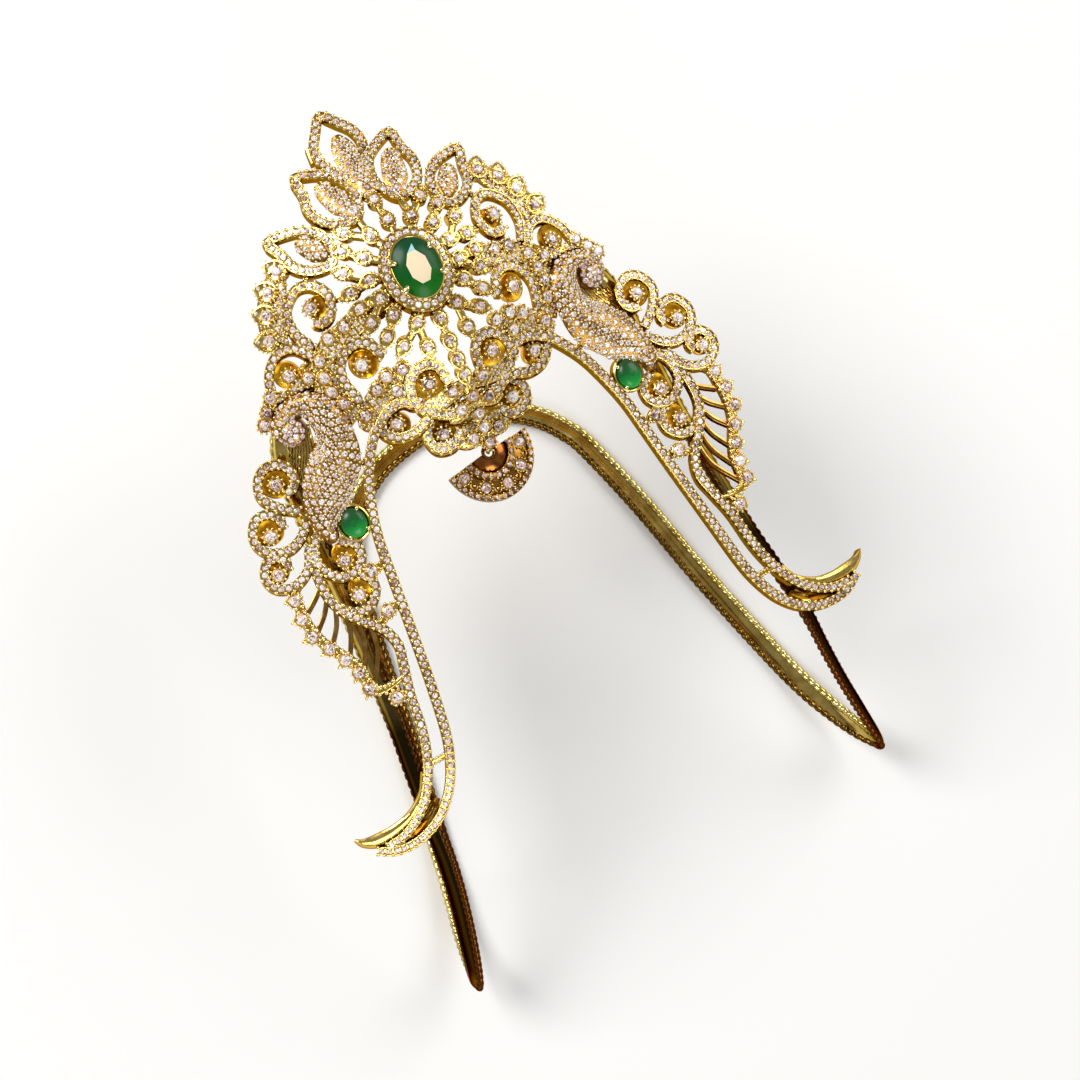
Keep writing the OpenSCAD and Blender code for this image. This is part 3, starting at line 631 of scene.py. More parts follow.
# rays: pear-shaped settings one after another, with thin necks between them
rayLook = {"half": (1.0, 1.02), "reach": 0.95, "spread": 0.55, "back": 0.3, "sides": 24,
           "beads": 13, "bead": 0.15, "beadsAt": 0.96, "clawsAt": 0.8, "claw": 0.2}
rays = [(3.1, 26.4, [(3.3, 30.9), (5.8, 28.8)]), (5.3, 24.3, [(7.3, 26.7)]),
        (6.1, 21.3, [(9, 21.3), (8.6, 24.1)]), (6, 18.5, [(8.9, 18.9), (8.4, 16.6)]),
        (5.4, 15.9, [(7.4, 14)]), (3, 13.6, [(5.9, 12), (3.1, 10.4)])]
rayLine = [(31, 1), (27.3, 1), (12.8, -1), (9.9, -1), (7.5, -1), (5.5, -1)]  # y and the way its point looks
ties = [(3.4, 31.6, 4.1, 33.4), (8, 27.8, 9.3, 28.6), (9.2, 25.2, 10.8, 26.9), (10, 21.6, 11.9, 22.2),
        (3.2, 9.6, 3.8, 8.4)]
hub = np.array([0, 19.6])
rayRows, necks = [], [plainStrip([(a, b, 0.7), (c, d, 0.7)], 0.3, 1.2) for a, b, c, d in ties]
for x, y, further in rays:
    a = np.array([x, y])
    for k, b in enumerate(further):
        b = np.array(b)
        d = unit(b - a)
        if k == 0:
            rayRows.append((*a, *d))
            necks.append(plainStrip([(*(hub + (a - hub) * 0.62), 1.05), (*a, 1.2)], 0.16, 1.3))
        necks.append(plainStrip([(*a, 1.0), (*b, 1.0)], 0.16, 1.3))
        rayRows.append((*b, *d))
rayRows = np.array(rayRows)
rayRows = np.vstack([rayRows, rayRows * [-1, 1, -1, 1], [(0, y, 0, k) for y, k in rayLine]])
work += necks
middle += [plainStrip([(0, 24.6, 0.8), (0, 33, 0.8)], 0.1, 1.3),
           plainStrip([(0, 4.2, 0.9), (0, 15.6, 0.8)], 0.1, 1.3)]
pearSettings(rayRows, rayLook)
for reach, size in ((1.2, 0.26), (1.68, 0.22), (-1.15, 0.22)):
    addOnFace(grains, rayRows[:, :2] + rayRows[:, 2:] * reach, rayRows[:, 2:], -0.05, size)
print("rays ready")

# pointed leaves of the shoulders, each with one stone
tipLook = {"half": (1.32, 1.42), "reach": 0.8, "spread": 0.62, "back": 0.1, "sides": 28,
           "beads": 17, "bead": 0.17, "beadsAt": 0.96, "clawsAt": 0.95, "claw": 0.24}
tips = [(15.7, 29.7, 62), (18.1, 27.9, 56), (19.7, 25.4, 43), (21, 22.3, 27)]  # x, y and heading
tipRows = np.array([(x, y, np.cos(np.radians(a)), np.sin(np.radians(a))) for x, y, a in tips])
tipRows = np.vstack([tipRows, tipRows * [-1, 1, -1, 1]])
pearSettings(tipRows, tipLook)
for ahead, aside, size in ((1.5, 0, 0.3), (0.2, 1.08, 0.22), (0.2, -1.08, 0.22), (-0.95, 0.35, 0.22),
                           (-0.95, -0.35, 0.22)):
    spots = tipRows[:, :2] + tipRows[:, 2:] * ahead + turned(tipRows[:, 2:]) * aside
    addOnFace(pave if ahead > 1 else grains, spots, tipRows[:, 2:], -0.02, size)

# places of the round stones: x, y, depth
scrollPlaces = [(14.3, 22.8, 0), (20.9, 17, 0), (11.9, 12.9, 0), (5, 6.6, 0), (5.6, 0.7, 2.4), (11, 4.5, 0.7),
                (29.3, 5.7, 0), (33.3, 0, 0), (34.9, -5.1, 0), (25.9, -7.8, 0), (26.5, -12.8, 0),
                (23.4, -10.8, 0), (24, -16.7, 0)]
clusterPlaces = [(2.4, 4.4, 0.3), (2.2, 2, 1), (2, -1.7, 2.8), (9.2, 7.8, 0), (7.4, 9.7, 0), (9.7, 10, 0),
                 (11.5, 9.3, 0), (14.3, 7.3, 0), (11.7, 18.2, 0.2), (14.1, 18.1, 0.2), (16.4, 16.4, 0.2),
                 (18.7, 15.4, 0.2), (16.9, 14.2, 0.2), (16.9, 12.3, 0.2), (16.1, 10.1, 0), (24.4, 15.9, 0.2),
                 (25.7, 14.5, 0.2), (26.8, 13.3, 0.2)]
clusterLine = [(0, 2.8, 0.8), (0, 0.7, 1.8), (0, -1.1, 2.6), (0, -3, 3.4)]
wingPlaces = [(34.6, -9.2, 0), (35, -11.9, 0), (34.9, -14.7, 0), (33.6, -17.3, 0), (32.4, -19.7, 0),
              (31.6, -22.2, 0), (31.4, -24.8, 0), (28.6, -27.7, 0)]
allRound = np.vstack([[k[:2] for k in scrollPlaces + clusterPlaces + clusterLine + tips], rayRows[:, :2]])

# strips that carry the round stones and tie the ribbons together
links = [  # top and back depth, rows x, y, width
    (0.3, 1.6, [(20.7, -10.8, 0.8), (22.9, -10.8, 1.9), (24.5, -11.6, 1.7)]),
    (0.3, 1.6, [(21.7, -16.5, 1.1), (23.3, -16.7, 1.9), (26.2, -17.9, 0.9)]),
    (0.3, 1.6, [(26.6, -27.7, 1.3), (29.4, -27.7, 1.9)]), (0.3, 1.5, [(26, -38, 0.9), (29.3, -38, 0.9)]),
    (0.5, 1.7, [(16.4, 2.4, 0.9), (18.4, 2.7, 0.9)]), (0.4, 1.6, [(19.2, -4, 1.2), (20.8, -3.9, 1.2)]),
    (0.5, 1.5, [(13.4, 25.6, 0.7), (12.4, 27.5, 0.7)]), (1.4, 4, [(6.2, 2.8, 1.1), (6.5, 4.2, 1.1)])]
work += [plainStrip([(x, y, w * 0.62) for x, y, w in rows], top + 0.15, low) for top, low, rows in links]
for top, low, rows in links:
    path = smoothCurve(rows, 0.58)
    side = turned(headings(path[:, :2]))
    for k in (-1, 1):
        spots = path[:, :2] + side * k * (path[:, 2:] * 0.3 + 0.04)
        addOnFace(grains, spots, side, top + 0.08, 0.24, True)

# plates between the scrolls, beaded and set with small stones
plates = [  # top and back depth, rows x, y, width
    (0.2, 1.6, [(14.4, 30.5, 1.2), (16.4, 28.8, 3.2), (18.4, 26.2, 4.2), (19.9, 22.6, 3.8),
                (19.8, 20.1, 1.6)]),
    (0.4, 1.9, [(16, 15.6, 3), (16.9, 12.2, 4.2), (15.4, 7.8, 2.4)]),
    (0.2, 1.7, [(7, 9.9, 1.2), (8.2, 9.5, 2.4), (10.4, 8.4, 4.4), (14.3, 7.3, 2.8), (13.9, 5.5, 1.4)]),
    (0.2, 2, [(8.4, 18.2, 2), (11.2, 17.5, 3.4), (14.1, 17.3, 3.6), (16.4, 16.3, 2.4), (18.7, 15.4, 1.9),
              (21.5, 15.3, 1.3), (24.4, 15.6, 1.8), (25.8, 14.4, 1.9), (27, 13, 1.6)]),
    (0.6, 2.2, [(7.4, 4.2, 2), (5.4, 4.4, 2.8), (2.8, 4.4, 2.4), (0, 4.5, 1.7)]),
    (1.2, 3, [(4.2, 2, 1.6), (3.2, 1.9, 2.4), (1.9, 2.1, 2.4), (-0.2, 2.4, 1.2)]),
    (3, 4.4, [(4.4, -0.4, 2.2), (2.4, -1.2, 3), (-0.2, -1, 2.2)])]
beads = {"pitch": 0.92, "stone": 0.35, "grain": 0.19, "clearOfStone": 1.16, "clearOfGrain": 0.98, "sunk": 0.3}


def hexSpots(path, pitch, edge):
    # hexagonal grid over a strip of changing width, kept a little inside its edge
    run = runAlong(path[:, :2])
    side = turned(headings(path[:, :2]))
    s, j = np.meshgrid(np.arange(pitch / 3, run[-1], pitch * 0.87), np.arange(-6, 7), indexing="ij")
    v = (j + 0.5 * (np.arange(len(s))[:, None] % 2)) * pitch
    keep = np.abs(v) < np.interp(s, run, path[:, 2]) / 2 - edge
    s, v = s[keep], v[keep]
    return spotsAt(s, run, path) + spotsAt(s, run, side) * v[:, None]


def awayFrom(spots, others, distance):
    return spots[np.min(np.linalg.norm(spots[:, None] - others[None], axis=2), axis=1) > distance]


for top, low, rows in plates:
    path = smoothCurve(rows, 0.3)
    sunk = top + beads["sunk"]
    work.append(plainStrip([(x, y, w - 0.1) for x, y, w in rows], sunk, low))
    spots = awayFrom(hexSpots(path, beads["pitch"], 0.25), allRound, beads["clearOfStone"])
    addOnFace(pave, spots, east, sunk - 0.12, beads["stone"], True)
    spots = awayFrom(hexSpots(path, beads["pitch"] / 1.73, 0.05), allRound, beads["clearOfGrain"])
    addOnFace(grains, spots, east, sunk - 0.02, beads["grain"], True)
middle += [plainStrip([(0, 4.4, 1.7), (0, 2.2, 1.7)], 0.9, 2.8),
           plainStrip([(0, 2.6, 1.4), (0, 0.2, 1.7)], 1.9, 3.6),
           plainStrip([(0, 0.8, 1.2), (0, -1.8, 1.7)], 2.7, 4.4),
           plainStrip([(0, -1.4, 1.2), (0, -3.9, 1.5)], 3.5, 5.1)]

# round stones in collars with four claws and a ring of beads
roundCollar = collarShape(0, 18, [(0.9, -1.3), (1.0, -0.15), (1.0, -0.02), (0.92, 0.06), (0.84, -0.02),
                                  (0.5, -0.1)])


def roundRows(rows, line=()):
    rows = np.array(rows, float)
    return np.vstack([rows, rows * [-1, 1, 1]] + ([np.array(line, float)] if len(line) else []))


scrollStones, wingStones = roundRows(scrollPlaces), roundRows(wingPlaces)
clusterStones = roundRows(clusterPlaces, clusterLine)
setting = {"scroll": 1.06, "wing": 1.04, "cluster": 1.02, "clawsAt": 0.93, "beads": 10, "beadsAt": 1.12,
           "bead": 0.2}
for rows, reach in ((scrollStones, setting["scroll"]), (wingStones, setting["wing"]),
                    (clusterStones, setting["cluster"])):
    middle.append(stampedOnFace(roundCollar, rows[:, :2], east, rows[:, 2] - 0.02, (reach, reach, 1)))
    lean = seeded.uniform(0, 1.5, len(rows))
    setWithClaws(np.column_stack([rows, lean]), setting["clawsAt"])
    for a in np.arange(setting["beads"]) * 2 * np.pi / setting["beads"]:
        spots = rows[:, :2] + setting["beadsAt"] * around(a + lean)
        addOnFace(grains, spots, east, rows[:, 2] + 0.05, setting["bead"])
print("settings ready")

# wings: a bright edge strip with outward claws, and polished curved ribs
wing = {"edgeTop": 0.25, "edgeLow": 1.7, "narrower": 0.72, "ribTop": 0.45, "ribLow": 1.6, "rib": 0.7,
        "spikeAt": 1.15, "spike": (0.55, 0.28, 0.34), "middle": (27.5, -15), "flatter": 0.35}
wingEdge = [(31.6, -7.1, 0.9), (33.9, -8.3, 1.3), (34.5, -10.4, 2.1), (34.6, -13, 2.1), (33.9, -16.2, 2.1),
            (32.5, -18.8, 2.1), (31.3, -21.4, 2.1), (31, -24.9, 2.3), (29.2, -26, 0.9), (26.4, -25.6, 0.9)]
ribs = [[(30.4, -9), (31.9, -10.2), (33.8, -11.4)], [(30.3, -10.6), (31.8, -12.6), (33.8, -14.3)],
        [(30, -12.4), (31.2, -14.9), (33, -17)], [(29.3, -14.1), (30, -16.8), (31.6, -19.6)],
        [(28.3, -15.6), (28.9, -18.8), (30.6, -22)], [(27.1, -16.9), (27.8, -20.6), (30.4, -24.6)]]
edge = [(x, y, w * wing["narrower"]) for x, y, w in wingEdge]
work.append(plainStrip(edge, wing["edgeTop"], wing["edgeLow"], step=0.4))
nubs = smoothCurve(wingEdge, 0.78)[4:-2]
for aside, size in ((0.5, 0.3), (-0.45, 0.36)):
    addOnFace(grains, nubs[:, :2] + turned(headings(nubs[:, :2])) * aside, east, 0.2, size, True)
wingRibs = [plainStrip(r, wing["ribTop"], wing["ribLow"], wing["rib"], 0.3) for r in ribs]
spikes = np.array(wingPlaces)[:7, :2]  # the last stone of the row has no claw
outward = unit((spikes - wing["middle"]) * [1, wing["flatter"]])
spikes = spikes + outward * wing["spikeAt"]
for k in (1, -1):
    addOnFace(claws, spikes * [k, 1], outward * [k, 1], 0.15, wing["spike"])

# cups: dished floors inside the scrolls
cups = np.array([(29.2, 6, 2.3, 0), (33.2, 0.6, 2, 0), (34.9, -4.7, 1.7, 0), (25.6, -7, 1.8, 0),
                 (25.7, -12, 1.8, 0), (13.5, 22.1, 1.9, 0), (21.3, 17.4, 1.9, 0), (11.8, 12.8, 2.1, 0),
                 (5.1, 6.5, 2.3, 0), (10.9, 4.1, 1.7, 0.6), (5.5, 1, 1.9, 2.3)])  # x, y, radius, depth
dish = collarShape(0, 24, [(1.0, -1.3), (1.0, -0.5), (0.93, -0.42), (0.8, -0.6), (0.55, -0.78), (0.2, -0.85)])
dishSizes = np.column_stack([cups[:, 2], cups[:, 2], np.ones(len(cups))])
dishes = stampedOnFace(dish, cups[:, :2], east, cups[:, 3], dishSizes)


# legs: a hollow trough and a plain outer rim between the two stone lines, and the block behind the tip
def evenSection(half):
    # a section from its right half, which ends in the middle
    return np.array(half + [(-x, z) for x, z in half[-2::-1]])


legRim = [(30.4, -38.4, 0.6), (31.9, -41, 1.0), (34.5, -42.9, 1.5), (37.5, -43.7, 1.9), (40.4, -43.7, 2.1),
          (42.4, -43, 1.3), (43.3, -42, 0.4)]
trough = [(30.2, -42.6, 0.9), (32.4, -44.4, 1.6), (34.7, -45, 2.3), (37.5, -45.2, 2.4), (39.8, -45.2, 1.4),
          (41, -44.9, 0.5)]
horn = evenSection([(0.5, -2.4), (0.5, -0.8), (0.42, -0.42), (0.24, -0.12), (0, 0)])
hollow = evenSection([(0.5, -2.4), (0.5, -1.05), (0.42, -1.0), (0.25, -1.5), (0, -1.7)])
for rows, section, least in ((legRim, horn, 0.3), (trough, hollow, 0.4)):
    path = smoothCurve(rows, 0.4)
    work.append(sweepOnFace(path, section, width=np.maximum(path[:, 2], least)))
block = [(30.9, -42.6, 1.6), (32.6, -45.6, 1.6)]
work.append(plainStrip(block, 1.6, 4.6))

# birds: domed bodies from the tail to the curled head, set all over with small stones
bird = {"rise": 1.7, "low": 2.0, "pitch": 1.08, "stone": 0.45, "grain": 0.19, "margin": 0.18, "tilt": 0}
birdRows = [(25.8, -4.9, 0.7), (25.9, -2.8, 1.9), (24.6, 0, 3.15), (22.4, 2.7, 3.6), (20.1, 5.2, 3.35),
            (19.1, 8.5, 2.4), (19.6, 11.2, 2.05), (21.1, 12.9, 1.55), (23.2, 13.2, 1.35), (25, 12.2, 1.2),
            (25.6, 10.6, 1.0)]


def domedStrip(rows, look, paired=True):
    # across the path the height is rise * cos(half turn * share of the half width)^0.8, less where the strip
    # is narrow, and the whole strip climbs by tilt from its first end to its last
    path = smoothCurve(rows, 0.35)
    side = turned(headings(path[:, :2]))
    run = runAlong(path[:, :2])

    def halfWidth(s):
        return np.interp(s, run, path[:, 2])

    def surface(s, v):
        w = halfWidth(s)
        share = np.clip(v / w, -1, 1)
        xy = spotsAt(s, run, path) + spotsAt(s, run, side) * (w * share)[:, None]
        lift = look["rise"] * np.minimum(1, 0.35 + w / 3) * np.maximum(np.cos(share * np.pi / 2), 0.0) ** 0.8
        return np.column_stack([xy, faceHeight(xy[:, 0], xy[:, 1]) + lift + look["tilt"] * s / run[-1]])

    share = np.linspace(1, -1, 13)
    top = surface(np.repeat(run, 13), (halfWidth(run)[:, None] * share).ravel()).reshape(-1, 13, 3)
    drop = look["low"] * np.minimum(1, 0.35 + halfWidth(run) / 3)
    inner = (top[:, [-1, 0]] - top[:, [0, -1]]) * (0.35 / np.maximum(halfWidth(run), 0.7))[:, None, None]
    foot = top[:, [0, -1]] + inner - np.stack([0 * drop, 0 * drop, drop], -1)[:, None]
    setInHex(surface, run[-1], halfWidth, look, paired)
    return skinOver(np.concatenate([foot[:, :1], top, foot[:, 1:]], 1))


bossPlace = np.array([[24.1, 10.6]])
boss = collarShape(0, 20, [(2.1, -1.6), (2.1, -0.5), (1.9, 0.25), (1.45, 0.75), (0.8, 0.95), (0.3, 1.0)])
beds = onBothSides([domedStrip(birdRows, bird)]) + onBothSides([stampedOnFace(boss, bossPlace, east, 0, 1)])
bossFrame = faceFrames(bossPlace, east)[0]
for radius, height, slope, count in ((0, 1.0, 0, 1), (0.9, 0.9, 0.3, 6), (1.68, 0.48, 1.2, 11)):
    away, local = coneFrames(2 * np.pi * np.arange(count) / count, slope)
    spots = facePlaces(bossPlace, 0) + (away * radius + [0, 0, height]) @ bossFrame
    addRow(pave, spots, local @ bossFrame, bird["stone"], True)
neckPlate = [(22.5, 11.2, 2.6), (24.2, 7.6, 4), (26.4, 4.4, 3)]
work.append(plainStrip(neckPlate, 1.4, 2.6))
neck = {"lines": 9, "halfWidth": 1.5, "wire": 0.17, "depth": 1.34, "wander": 0.05}
for aside in np.linspace(-neck["halfWidth"], neck["halfWidth"], neck["lines"]):
    line = smoothCurve([(x - 0.1 + aside * w / 4.2, y + aside * w / 9, 0) for x, y, w in neckPlate],
                       0.25)[1:-1]
    scored = line[:, :2] + seeded.normal(0, neck["wander"], (len(line), 2))
    depths = neck["depth"] + seeded.normal(0, neck["wander"], len(line))
    work.append(tube(facePlaces(scored, depths), neck["wire"], 6))

# filled leaves inside the petals
leaf = {"rise": 0.5, "low": 1.1, "pitch": 1.0, "stone": 0.43, "grain": 0.19, "margin": 0.22, "tilt": 1.3}
leaves = [((0, 32.6), (0.2, 42.0), 2.0), ((3.5, 30.6), (5.6, 36.8), 1.75), ((9.2, 27.2), (11.8, 31.3), 1.5)]


def leafOf(foot, tip, w, paired=True):
    share = np.array([0, 0.15, 0.3, 0.5, 0.7, 0.87, 1])
    line = np.array(foot) + (np.array(tip) - foot) * share[:, None]
    wide = w * np.interp(share, [0, 0.3, 0.65, 0.87, 1], [0.5, 1, 0.96, 0.68, 0.3])
    return domedStrip(np.column_stack([line, wide]), leaf, paired)


beds += onBothSides([leafOf(*leaves[1]), leafOf(*leaves[2])]) + [leafOf(*leaves[0], paired=False)]
print("birds and leaves ready")

# bezels of the side stones, and the lug behind one petal
sideStone = {"length": 4.4, "width": 3.75, "x": 22.4, "y": -3.9, "lift": 0.2}
sidePlace = np.array([[sideStone["x"], sideStone["y"]]])
sideSize = (sideStone["width"] / 2, sideStone["length"] / 2, 1)
bezel = collarShape(0, 28, [(1.18, -1.45), (1.26, -0.4), (1.24, 0.25), (1.16, 0.38), (1.07, 0.3),
                            (1.02, -0.5), (0.5, -0.85)])
work.append(stampedOnFace(bezel, sidePlace, east, 0, sideSize))
lug = [(-3.3, 43.4), (-3.7, 41)]
middle.append(plainStrip(lug, 1.4, 3.4, 1))


def ovalClaws(spot, half, angles, size, lift, paired):
    # claws on an oval girdle: from outside it they lean over its edge
    along, across, up = faceFrames(spot, east)[0]
    out = around(np.radians(angles)) * half
    out = out[:, :1] * along + out[:, 1:] * across
    up = np.tile(up, (len(out), 1))
    inward = -unit(out)
    frames = np.stack([inward, np.cross(up, inward), up], 1)
    addRow(claws, facePlaces(spot, 0) + out + lift * up, frames, size, paired)


ovalClaws(centrePlace, (3.25, 4.15), (28, 152, 208, 332), (0.8, 0.42, 0.5), 1.5, False)
ovalClaws(sidePlace, (1.92, 2.25), (45, 135, 225, 315), (0.42, 0.28, 0.3), 0.6, True)


def loosened(frames, lean):
    # each frame turned by chance about its own axis, which leans a little
    n = len(frames)
    up = unit(frames[:, 2] + np.einsum("nk,nkd->nd", seeded.normal(0, lean, (n, 2)), frames[:, :2]))
    a = seeded.uniform(0, 2 * np.pi, n)[:, None]
    along = np.cos(a) * frames[:, 0] + np.sin(a) * frames[:, 1]
    along = unit(along - up * np.sum(along * up, 1, keepdims=True))
    return np.stack([along, np.cross(up, along), up], 1)


def gathered(shape, rows, lean=0):
    # everything in a list stamped as one mesh, with the paired ones repeated on the other side
    flip = np.array([-1, 1, 1])
    places, frames, sizes = [], [], []
    for p, f, s, paired in rows:
        places += [p] + ([p * flip] if paired else [])
        frames += [f] + ([np.stack([f[:, 0] * flip, -f[:, 1] * flip, f[:, 2] * flip], 1)] if paired else [])
        sizes += [s] + ([s] if paired else [])
    places, frames, sizes = (np.concatenate(k) for k in (places, frames, sizes))
    frames = loosened(frames, lean) if lean else frames
    return stamped(shape, places, frames, sizes), len(places)


makePiece("castOrnament", joined(onBothSides(work) + middle), yellowGold)
makePiece("wingRibs", joined(onBothSides(wingRibs)), ribGold)
makePiece("dishedFloors", joined(onBothSides([dishes])), amberGold)
makePiece("stoneBeds", joined(beds), bedGold)

# rope-edged band: two twisted wires with a smooth hollow strip between them
band = {"thick": 1.7, "wire": 0.42, "apart": 0.2, "lead": 2.6, "across": 1.3, "step": 0.22}
bandRows = [  # x, y, height of the underside, angle of the outward side from +X
    (0, 10.8, 0, -90), (5, 10.3, 0, -90), (10, 9, 0, -90), (14.4, 6.6, 0, -90), (18, 3.4, 0, -89),
    (20.5, -0.3, 0, -88), (22.2, -4.3, 0, -87), (25.2, -17, 0, -85), (28, -32.5, 0, -83), (31.6, -49, 0, -77),
    (33.5, -57, 0.85, -68), (35.2, -62.5, 2.15, -52), (36.5, -66.6, 4.15, -33), (37.3, -69, 6.35, -10),
    (37.5, -69.8, 8.35, 8), (37, -68.2, 10.75, 22), (35.9, -64.2, 14.35, 33), (34.5, -58.6, 18.75, 38),
    (33.3, -52.6, 23.35, 41), (32.4, -46, 27.55, 43), (31.2, -38, 29.95, 45), (30, -30, 32.05, 47),
    (28.4, -14, 36.95, 51), (27.6, 0, 41.75, 54), (27, 7, 44.65, 58), (25.2, 11.2, 46.85, 66),
    (21, 14.7, 49.15, 76), (15, 17.2, 52.35, 84), (7.5, 18.9, 55.45, 88), (0, 19.4, 56.45, 90)]
rows = np.array(bandRows, float)
rows = np.vstack([rows, rows[-2:0:-1] * [-1, 1, 1, -1] + [0, 0, 0, 180]])
tilt = np.radians(rows[:, 3])
loop = smoothCurve(np.column_stack([rows[:, :2], rows[:, 2] + band["thick"] / 2, np.cos(tilt), np.sin(tilt)]),
                   band["step"], True, 3)
centre = loop[:, :3]
ahead = headings(centre, True)
out = np.column_stack([loop[:, 3], 0 * loop[:, 3], loop[:, 4]])
out = unit(out - ahead * np.sum(out * ahead, 1, keepdims=True))
wide = np.cross(out, ahead)


def bandSweep(section):
    # closed section (across, outward) carried round the loop; it may change from station to station
    section = np.broadcast_to(section, (len(centre), *np.shape(section)[-2:]))
    return skinOver(centre[:, None] + wide[:, None] * section[..., :1] + out[:, None] * section[..., 1:],
                    True)


def ropeSection(side):
    # two round wires wound round each other: r = c |cos b| + sqrt(a^2 - c^2 sin^2 b),
    # with b turning along the loop
    run = np.arange(len(centre)) * 2 * np.pi * round(len(centre) * band["step"] / band["lead"]) / len(centre)
    t = np.linspace(0, 2 * np.pi, 14, endpoint=False)
    b = t[None] - side * run[:, None]
    r = band["apart"] * np.abs(np.cos(b)) + np.sqrt(band["wire"] ** 2 - (band["apart"] * np.sin(b)) ** 2)
    return np.stack([side * band["across"] + r * np.cos(t), -0.1 + r * np.sin(t)], -1)


strip = np.array([(-1.45, 0.1), (-1.35, -0.28), (-0.9, -0.3), (-0.45, -0.2), (0, -0.15), (0.45, -0.2),
                  (0.9, -0.3), (1.35, -0.28), (1.45, 0.1), (1.2, 0.45), (0.6, 0.68), (0, 0.76), (-0.6, 0.68),
                  (-1.2, 0.45)])
makePiece("outerRope", bandSweep(ropeSection(-1)), ropeGold, sharp=60)
makePiece("innerRope", bandSweep(ropeSection(1)), ropeShade, sharp=60)
makePiece("bandStrip", bandSweep(strip), stripGold)

# the drop: a shallow half cone with two raised stone rims, hung by a ring
drop = {"at": np.array([-0.4, -3.6, 43.6]), "turnX": 4, "turnZ": 6, "depth": 1.08, "spread": 178,
        "pitch": 0.92, "stoneStep": 38, "stoneSlope": 14, "eyelet": np.array([0, -0.2, -0.9]), "loop": 0.8,
        "wire": 0.26, "ring": 1.15, "ringWire": 0.19, "grain": 0.17, "slope": 0.3,
        "rimLines": ((3.43, -1.02, 0.4), (6.27, -1.83, 0.34))}  # radius, height, stone
xAxis, yAxis, zAxis = np.eye(3)
turnX, turnZ = np.radians(drop["turnX"]), np.radians(drop["turnZ"])
dropTurn = (np.array([[np.cos(turnZ), -np.sin(turnZ), 0], [np.sin(turnZ), np.cos(turnZ), 0], [0, 0, 1]])
            @ np.array([[1, 0, 0], [0, np.cos(turnX), -np.sin(turnX)], [0, np.sin(turnX), np.cos(turnX)]]))
spread = np.radians(np.linspace(-90 - drop["spread"] / 2, -90 + drop["spread"] / 2, 61))


def revolved(profile):
    # profile (radius, height), clockwise, carried round the drop's own axis
    p = np.asarray(profile)
    grid = [np.column_stack([p[:, 0] * np.cos(a), p[:, 0] * np.sin(a), p[:, 1]]) for a in spread]
    return hung(skinOver(np.stack(grid)))


def hungPoints(points):
    # the drop's own points, a little deeper than half a disc, turned and moved to where it hangs
    return points * [1, drop["depth"], 1] @ dropTurn.T + drop["at"]


def hung(mesh):
    return hungPoints(mesh[0]), mesh[1]


def circleTube(centreAt, radius, wire, axes):
    a = np.linspace(0, 2 * np.pi, 24, endpoint=False)[:, None]
    return tube(centreAt + radius * (np.cos(a) * axes[0] + np.sin(a) * axes[1]), wire, 10, True)


dropMetal = [(2.85, -1.75), (2.85, -1.3), (2.92, -0.97), (3.04, -0.92), (3.14, -1.02), (3.72, -1.2),
             (3.8, -1.1), (3.95, -1.14), (4.06, -1.7), (5.82, -2.2), (5.85, -1.8), (5.95, -1.72),
             (6.05, -1.82), (6.5, -1.97), (6.56, -1.88), (6.66, -1.92), (6.7, -2.15), (6.7, -3.15),
             (3.6, -2.5)]
cone = [(1.1, -1.7), (1.1, -0.7), (1.2, -0.5), (1.6, -0.56), (2.1, -0.76), (2.6, -1.1), (3.0, -1.5),
        (3.0, -1.72)]
dropLoop = hung(circleTube(drop["eyelet"], drop["loop"], drop["wire"], (xAxis, yAxis)))
makePiece("dropRims", joined([revolved(dropMetal), dropLoop]), fanGold, ["fan_drop"])
makePiece("dropCone", revolved(cone), copperConeShade, ["fan_drop"])


def dropSpots(radius, height, trim):
    # places along an arc of the drop, with frames that stand on its cone
    half = np.radians(drop["spread"] / 2) - trim / radius
    count = int(round(2 * half * radius / drop["pitch"]))
    away, frames = coneFrames(-np.pi / 2 + np.linspace(-half, half, count), drop["slope"])
    return hungPoints(away * radius + zAxis * height), frames @ dropTurn.T


dropGrains, dropPave = [], []
for radius, height, stone in drop["rimLines"]:
    addRow(dropPave, *dropSpots(radius, height, 0.5), stone)
    for edge in (-stone, stone):
        spots = dropSpots(radius + edge, height - edge * drop["slope"] + 0.06, 0.1)
        addRow(dropGrains, *spots, drop["grain"])
stoneTurns = np.radians(-90 + drop["stoneStep"] * np.arange(-2, 3))
away, fanFrames = coneFrames(stoneTurns, np.tan(np.radians(drop["stoneSlope"])))
fanFrames = fanFrames @ dropTurn.T
fanSpots = hungPoints(away * 5 + zAxis * -1.88)
# pear-shaped rims with their points to the hub, beaded all round
inward = np.stack([fanFrames[:, 1], -fanFrames[:, 0], fanFrames[:, 2]], 1)
pearRim = collarShape(0.34, 22, [(1.0, -0.5), (1.04, 0.0), (1.0, 0.14), (0.9, 0.12), (0.84, -0.02),
                                 (0.5, -0.05)])
rimSize, rimBeads = 0.98, 14
settings = [stamped(pearRim, fanSpots, inward, np.full(5, rimSize))]
for t in np.arange(rimBeads) * 2 * np.pi / rimBeads:
    reach = rimSize * pearRadius(t, 0.34, 0.7)
    ray = inward[:, 0] * np.cos(t) + inward[:, 1] * np.sin(t)
    addRow(dropGrains, fanSpots + ray * reach + fanFrames[:, 2] * 0.08, fanFrames, 0.18)
